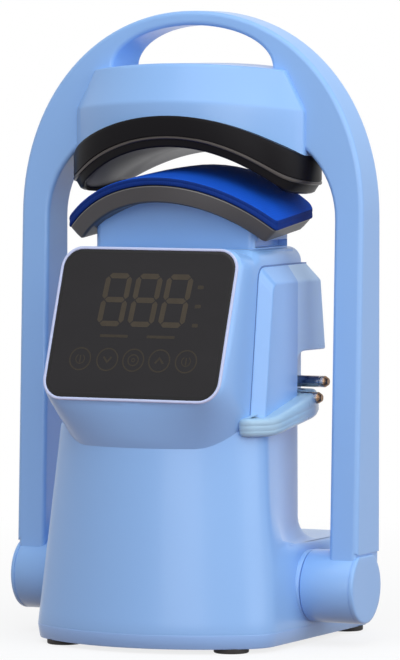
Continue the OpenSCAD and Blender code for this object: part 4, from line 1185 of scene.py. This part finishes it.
class PRESS_OT_head(bpy.types.Operator):
    """Heated head: creased housing, the black skirt and the hot platen"""

    bl_idname = "press.head"
    bl_label = "Head"

    def execute(self, context):
        sizes = context.scene.press_sizes
        crease_fall, top_fall = sizes.crease_crown * 1000, sizes.head_crown * 1000
        low_side, high_side, crease_z, top_z = 86.8, 72.0, 370.6, 397.0
        housing_r, skirt_r, platen_r = 133.0, 118.0, 119.7
        low = head_outline(low_side, -38.0, 54.0, -5.0, 21.0)
        high = head_outline(high_side, -24.0, 40.0, -6.0, 22.0)

        def crease(x):
            return crease_z - crease_fall * (x / low_side) ** 2

        def top(x):
            return top_z - top_fall * (x / high_side) ** 2

        def upright(ring, share):
            made = []
            for x, y in ring:
                bottom = saddle(x, y, housing_r, HEAD_CURVE)
                made.append((x, y, bottom + (crease(x) - 1.8 - bottom) * share))
            return made

        rings = [upright(shrunk(grow(low, -4.0), keep, HEAD_Y), 0.0) for keep in (0.04, 0.3, 0.6, 0.85, 1.0)]
        rings += [upright(low, share) for share in (0.0, 0.35, 0.7, 1.0)]
        rings.append([(x, y, crease(x) - 0.4) for x, y in grow(low, -0.15)])
        for share in (0.03, 0.08, 0.3, 0.6, 0.9):
            rings.append([
                (x, y, crease(u) + (top(x) - crease(u)) * share)
                for (u, _), (x, y) in zip(low, mix_points(low, high, share))
            ])
        for share, inset, down in ((0.97, 0.1, 0.75), (1.0, 0.5, 0.2), (1.0, 1.6, 0.0)):
            rings.append([(x, y, top(x) - down) for x, y in grow(mix_points(low, high, share), -inset)])
        for keep in (0.9, 0.7, 0.45, 0.2, 0.04):
            rings.append([(x, y, top(x)) for x, y in shrunk(grow(high, -1.6), keep, HEAD_Y)])
        piece("head_body", Solid().loft(rings), "press_arm", "shell", ["head_front", "head_rear"], sharp=28.0)

        oval = squared_oval((0.0, HEAD_Y), (88.0, 46.0), 2.4, range(0, 360, 3))

        rim_r, rim_curve, floor_z, ease, round_r = 160.4, (198.9, HEAD_RISE), 307.5, 3.0, 9.0

        def skirt_point(x, y, share):
            """A place on the skirt: the saddle eases into a floor, and its ends draw in to round off."""
            floor = floor_z + (y - HEAD_Y) * HEAD_RISE
            above = (saddle(x, y, skirt_r, HEAD_CURVE) - floor) / ease
            bottom = floor + ease * math.log(1 + math.exp(above))
            height = (saddle(x, y, rim_r, rim_curve) - bottom) * share
            drawn = max(0.0, round_r - height)
            nose = smooth_step(70.0, 89.0, abs(x)) * (round_r - math.sqrt(round_r ** 2 - drawn ** 2))
            return x - math.copysign(nose, x), y, bottom + height

        skirt_h = 21.3
        step = sizes.skirt_step * 1000 / skirt_h
        profile = (
            (-4.0, 0.02), (-1.2, 0.0), (-0.3, 0.02), (0.2, 0.06), (0.3, step - 0.08), (0.6, step - 0.06),
            (1.8, step - 0.045), (2.2, step - 0.02), (2.2, step + 0.02), (1.6, step + 0.04),
            (1.5, step + 0.055), (1.9, step + 0.065), (2.0, step + 0.1), (2.0, 0.9), (1.8, 0.96), (1.1, 1.0),
            (-4.0, 1.0),
        )
        skirt = [[skirt_point(x, y, share) for x, y in grow(oval, out)] for out, share in profile]
        # Rows 5 to 8 make the lip's bead in a lighter grey metal: the bead is real, its lighter line a
        # painted highlight
        piece(
            "black_skirt", Solid().loft(skirt, rows=(5, 6, 7, 8), closed=True), "press_arm", "skirt",
            ["head_skirt"], ["skirt_plastic", "skirt_lip"]
        )

        # The platen stands off the skirt, but its back edge laps under the skirt's rim
        gap, lap, droop = 6.0, 6.6, 2.1
        face = [(keep, 0.0) for keep in (0.05, 0.3, 0.55, 0.78, 0.93, 0.985)]
        rings = []
        for keep, rise in face + [(1.0, 0.5), (1.0, 4.0), (0.8, 4.0), (0.4, 4.0), (0.05, 4.0)]:
            ring = []
            for x, y in oval:
                behind = smooth_step(4.0, 34.0, y - HEAD_Y) * (1 - smooth_step(66.0, 82.0, abs(x)))
                shrink = 1 - (gap - lap * behind) / math.hypot(x, y - HEAD_Y)
                x, y = x * keep * shrink, HEAD_Y + (y - HEAD_Y) * keep * shrink
                radius = platen_r - droop * behind * keep ** 3 + rise
                ring.append((x, y, saddle(x, y, radius, HEAD_CURVE)))
            rings.append(ring)
        piece("hot_platen", Solid().loft(rings), "press_arm", "platen", ["heat_platen"])
        return {"FINISHED"}


class PRESS_OT_inner_parts(bpy.types.Operator):
    """Finishes for the frame's own parts: cover, screws, inlet, switch, lift, boards and heater"""

    bl_idname = "press.inner_parts"
    bl_label = "Frame parts"

    def execute(self, context):
        for part in frame["record"]["subparts"]:
            made = frame["nodes"][part["node"]]
            made.data.materials.clear()
            made.data.materials.append(finish(SLOT_FINISH[part["material_slot"]]))
        return {"FINISHED"}


class PRESS_OT_stage(bpy.types.Operator):
    """Pale floor, soft studio light and the camera"""

    bl_idname = "press.stage"
    bl_label = "Stage"

    def execute(self, context):
        stage, link = context.scene.press_stage, context.scene.collection.objects.link
        white = {"Color": (1.0, 1.0, 1.0), "Strength": 1.0}
        around = [(x, y, 0.0) for x, y in arc((0.0, 0.0), 4.0, range(0, 360, 6))]
        mesh = bpy.data.meshes.new("floor")
        mesh.from_pydata(around, [], [list(range(len(around)))])
        floor = bpy.data.objects.new("floor", mesh)
        link(floor)
        f = Finish("floor_paper", Base_Color=(0.86, 0.86, 0.86), Roughness=0.7)
        seen = f.background()
        pale = f.mix(f.noise(3.0), (0.86, 0.86, 0.86), (0.90, 0.90, 0.90))
        f.feed("Base Color", f.mix(seen, tuple(stage.bounce), pale))
        away = f.node("ShaderNodeVectorMath", {"operation": "LENGTH"}, {0: f.place()}, "Value")
        reach = {0: away, 1: 0.25, 2: 0.9, 3: stage.paper, 4: 1.0}
        fade = f.node("ShaderNodeMapRange", {"clamp": True}, reach)
        lit, glow = Value(f, f.shader.outputs[0]), f.node("ShaderNodeEmission", None, white)
        f.show(f.node("ShaderNodeMixShader", None, {0: seen * fade, 1: lit, 2: glow}))
        mesh.materials.append(f.material)

        context.scene.world = bpy.data.worlds.new("studio")
        context.scene.world.use_nodes = True
        room = Nodes(context.scene.world.node_tree)
        way = room.node("ShaderNodeTexCoord", out="Generated")
        rise = room.node("ShaderNodeSeparateXYZ", None, {0: way}, "Z")
        sky = room.node("ShaderNodeValToRGB", {"stops": (
            (0.0, (0.24, 0.19, 0.18)), (0.48, (0.34, 0.30, 0.31)), (0.58, (0.78, 0.80, 0.86)),
            (1.0, (1.0, 1.0, 1.0)),
        )}, {0: rise * 0.5 + 0.5})
        dim = room.node("ShaderNodeBackground", None, {"Color": sky, "Strength": stage.sky})
        bright = room.node("ShaderNodeBackground", None, white)
        room.show(room.node("ShaderNodeMixShader", None, {0: room.background(), 1: dim, 2: bright}))

        def aim(made, place, way):
            made.location = place
            made.rotation_euler = way.to_track_quat("-Z", "Y").to_euler()
            link(made)

        for name, place, size, watts in (
            ("key", (0.75, -1.4, 0.9), 1.0, stage.key),
            ("fill", (0.5, -2.25, 0.45), 1.2, stage.fill),
            ("side", (1.5, -0.3, 0.75), 1.5, stage.side_light),
            ("top", (0.1, -0.7, 1.75), 1.6, stage.top),
        ):
            lamp = bpy.data.lights.new(name, "AREA")
            lamp.size = size
            lamp.energy = watts
            aim(bpy.data.objects.new(name, lamp), place, Vector((0.0, 0.0, 0.22)) - Vector(place))

        view = bpy.data.cameras.new("view")
        view.sensor_fit = "VERTICAL"
        view.sensor_height = 36.0
        view.lens = stage.lens
        view.clip_end = 50.0
        camera = bpy.data.objects.new("view", view)
        ahead = Vector((-math.sin(stage.azimuth), math.cos(stage.azimuth), 0.0))
        right = Vector((math.cos(stage.azimuth), math.sin(stage.azimuth), 0.0))
        stand = Vector((0.0, HUB[0] / 1000, stage.height)) - ahead * stage.distance
        aim(camera, stand, ahead + right * stage.side + Vector((0.0, 0.0, stage.pitch)))
        context.scene.camera = camera
        context.scene.view_settings.view_transform = "Standard"
        return {"FINISHED"}


class VIEW3D_PT_cap_press(bpy.types.Panel):
    """Sizes, colours and building steps of the press"""

    bl_label = "Cap heat press"
    bl_space_type = "VIEW_3D"
    bl_region_type = "UI"
    bl_category = "Press"

    def draw(self, context):
        layout = self.layout
        for name in GROUPS:
            group = getattr(context.scene, name)
            box = layout.box()
            for value in group.__annotations__:
                box.prop(group, value)
        for operator in OPERATORS:
            layout.operator(operator.bl_idname)


GROUPS = {"press_sizes": PressSizes, "press_colours": PressColours, "press_stage": PressStage}
OPERATORS = (
    PRESS_OT_stage, PRESS_OT_base, PRESS_OT_housing, PRESS_OT_display, PRESS_OT_strap_hook, PRESS_OT_cap_form,
    PRESS_OT_arm, PRESS_OT_head, PRESS_OT_inner_parts,
)
CLASSES = (*GROUPS.values(), *OPERATORS, VIEW3D_PT_cap_press)


def register():
    for cls in CLASSES:
        bpy.utils.register_class(cls)
    for name, cls in GROUPS.items():
        setattr(bpy.types.Scene, name, PointerProperty(type=cls))


def unregister():
    for name in GROUPS:
        delattr(bpy.types.Scene, name)
    for cls in reversed(CLASSES):
        bpy.utils.unregister_class(cls)


def main():
    register()
    bpy.ops.press.stage()
    bpy.ops.press.base()
    bpy.ops.press.housing()
    bpy.ops.press.display()
    bpy.ops.press.strap_hook()
    bpy.ops.press.cap_form()
    bpy.ops.press.arm()
    bpy.ops.press.head()
    bpy.ops.press.inner_parts()


if __name__ == "__main__":
    main()
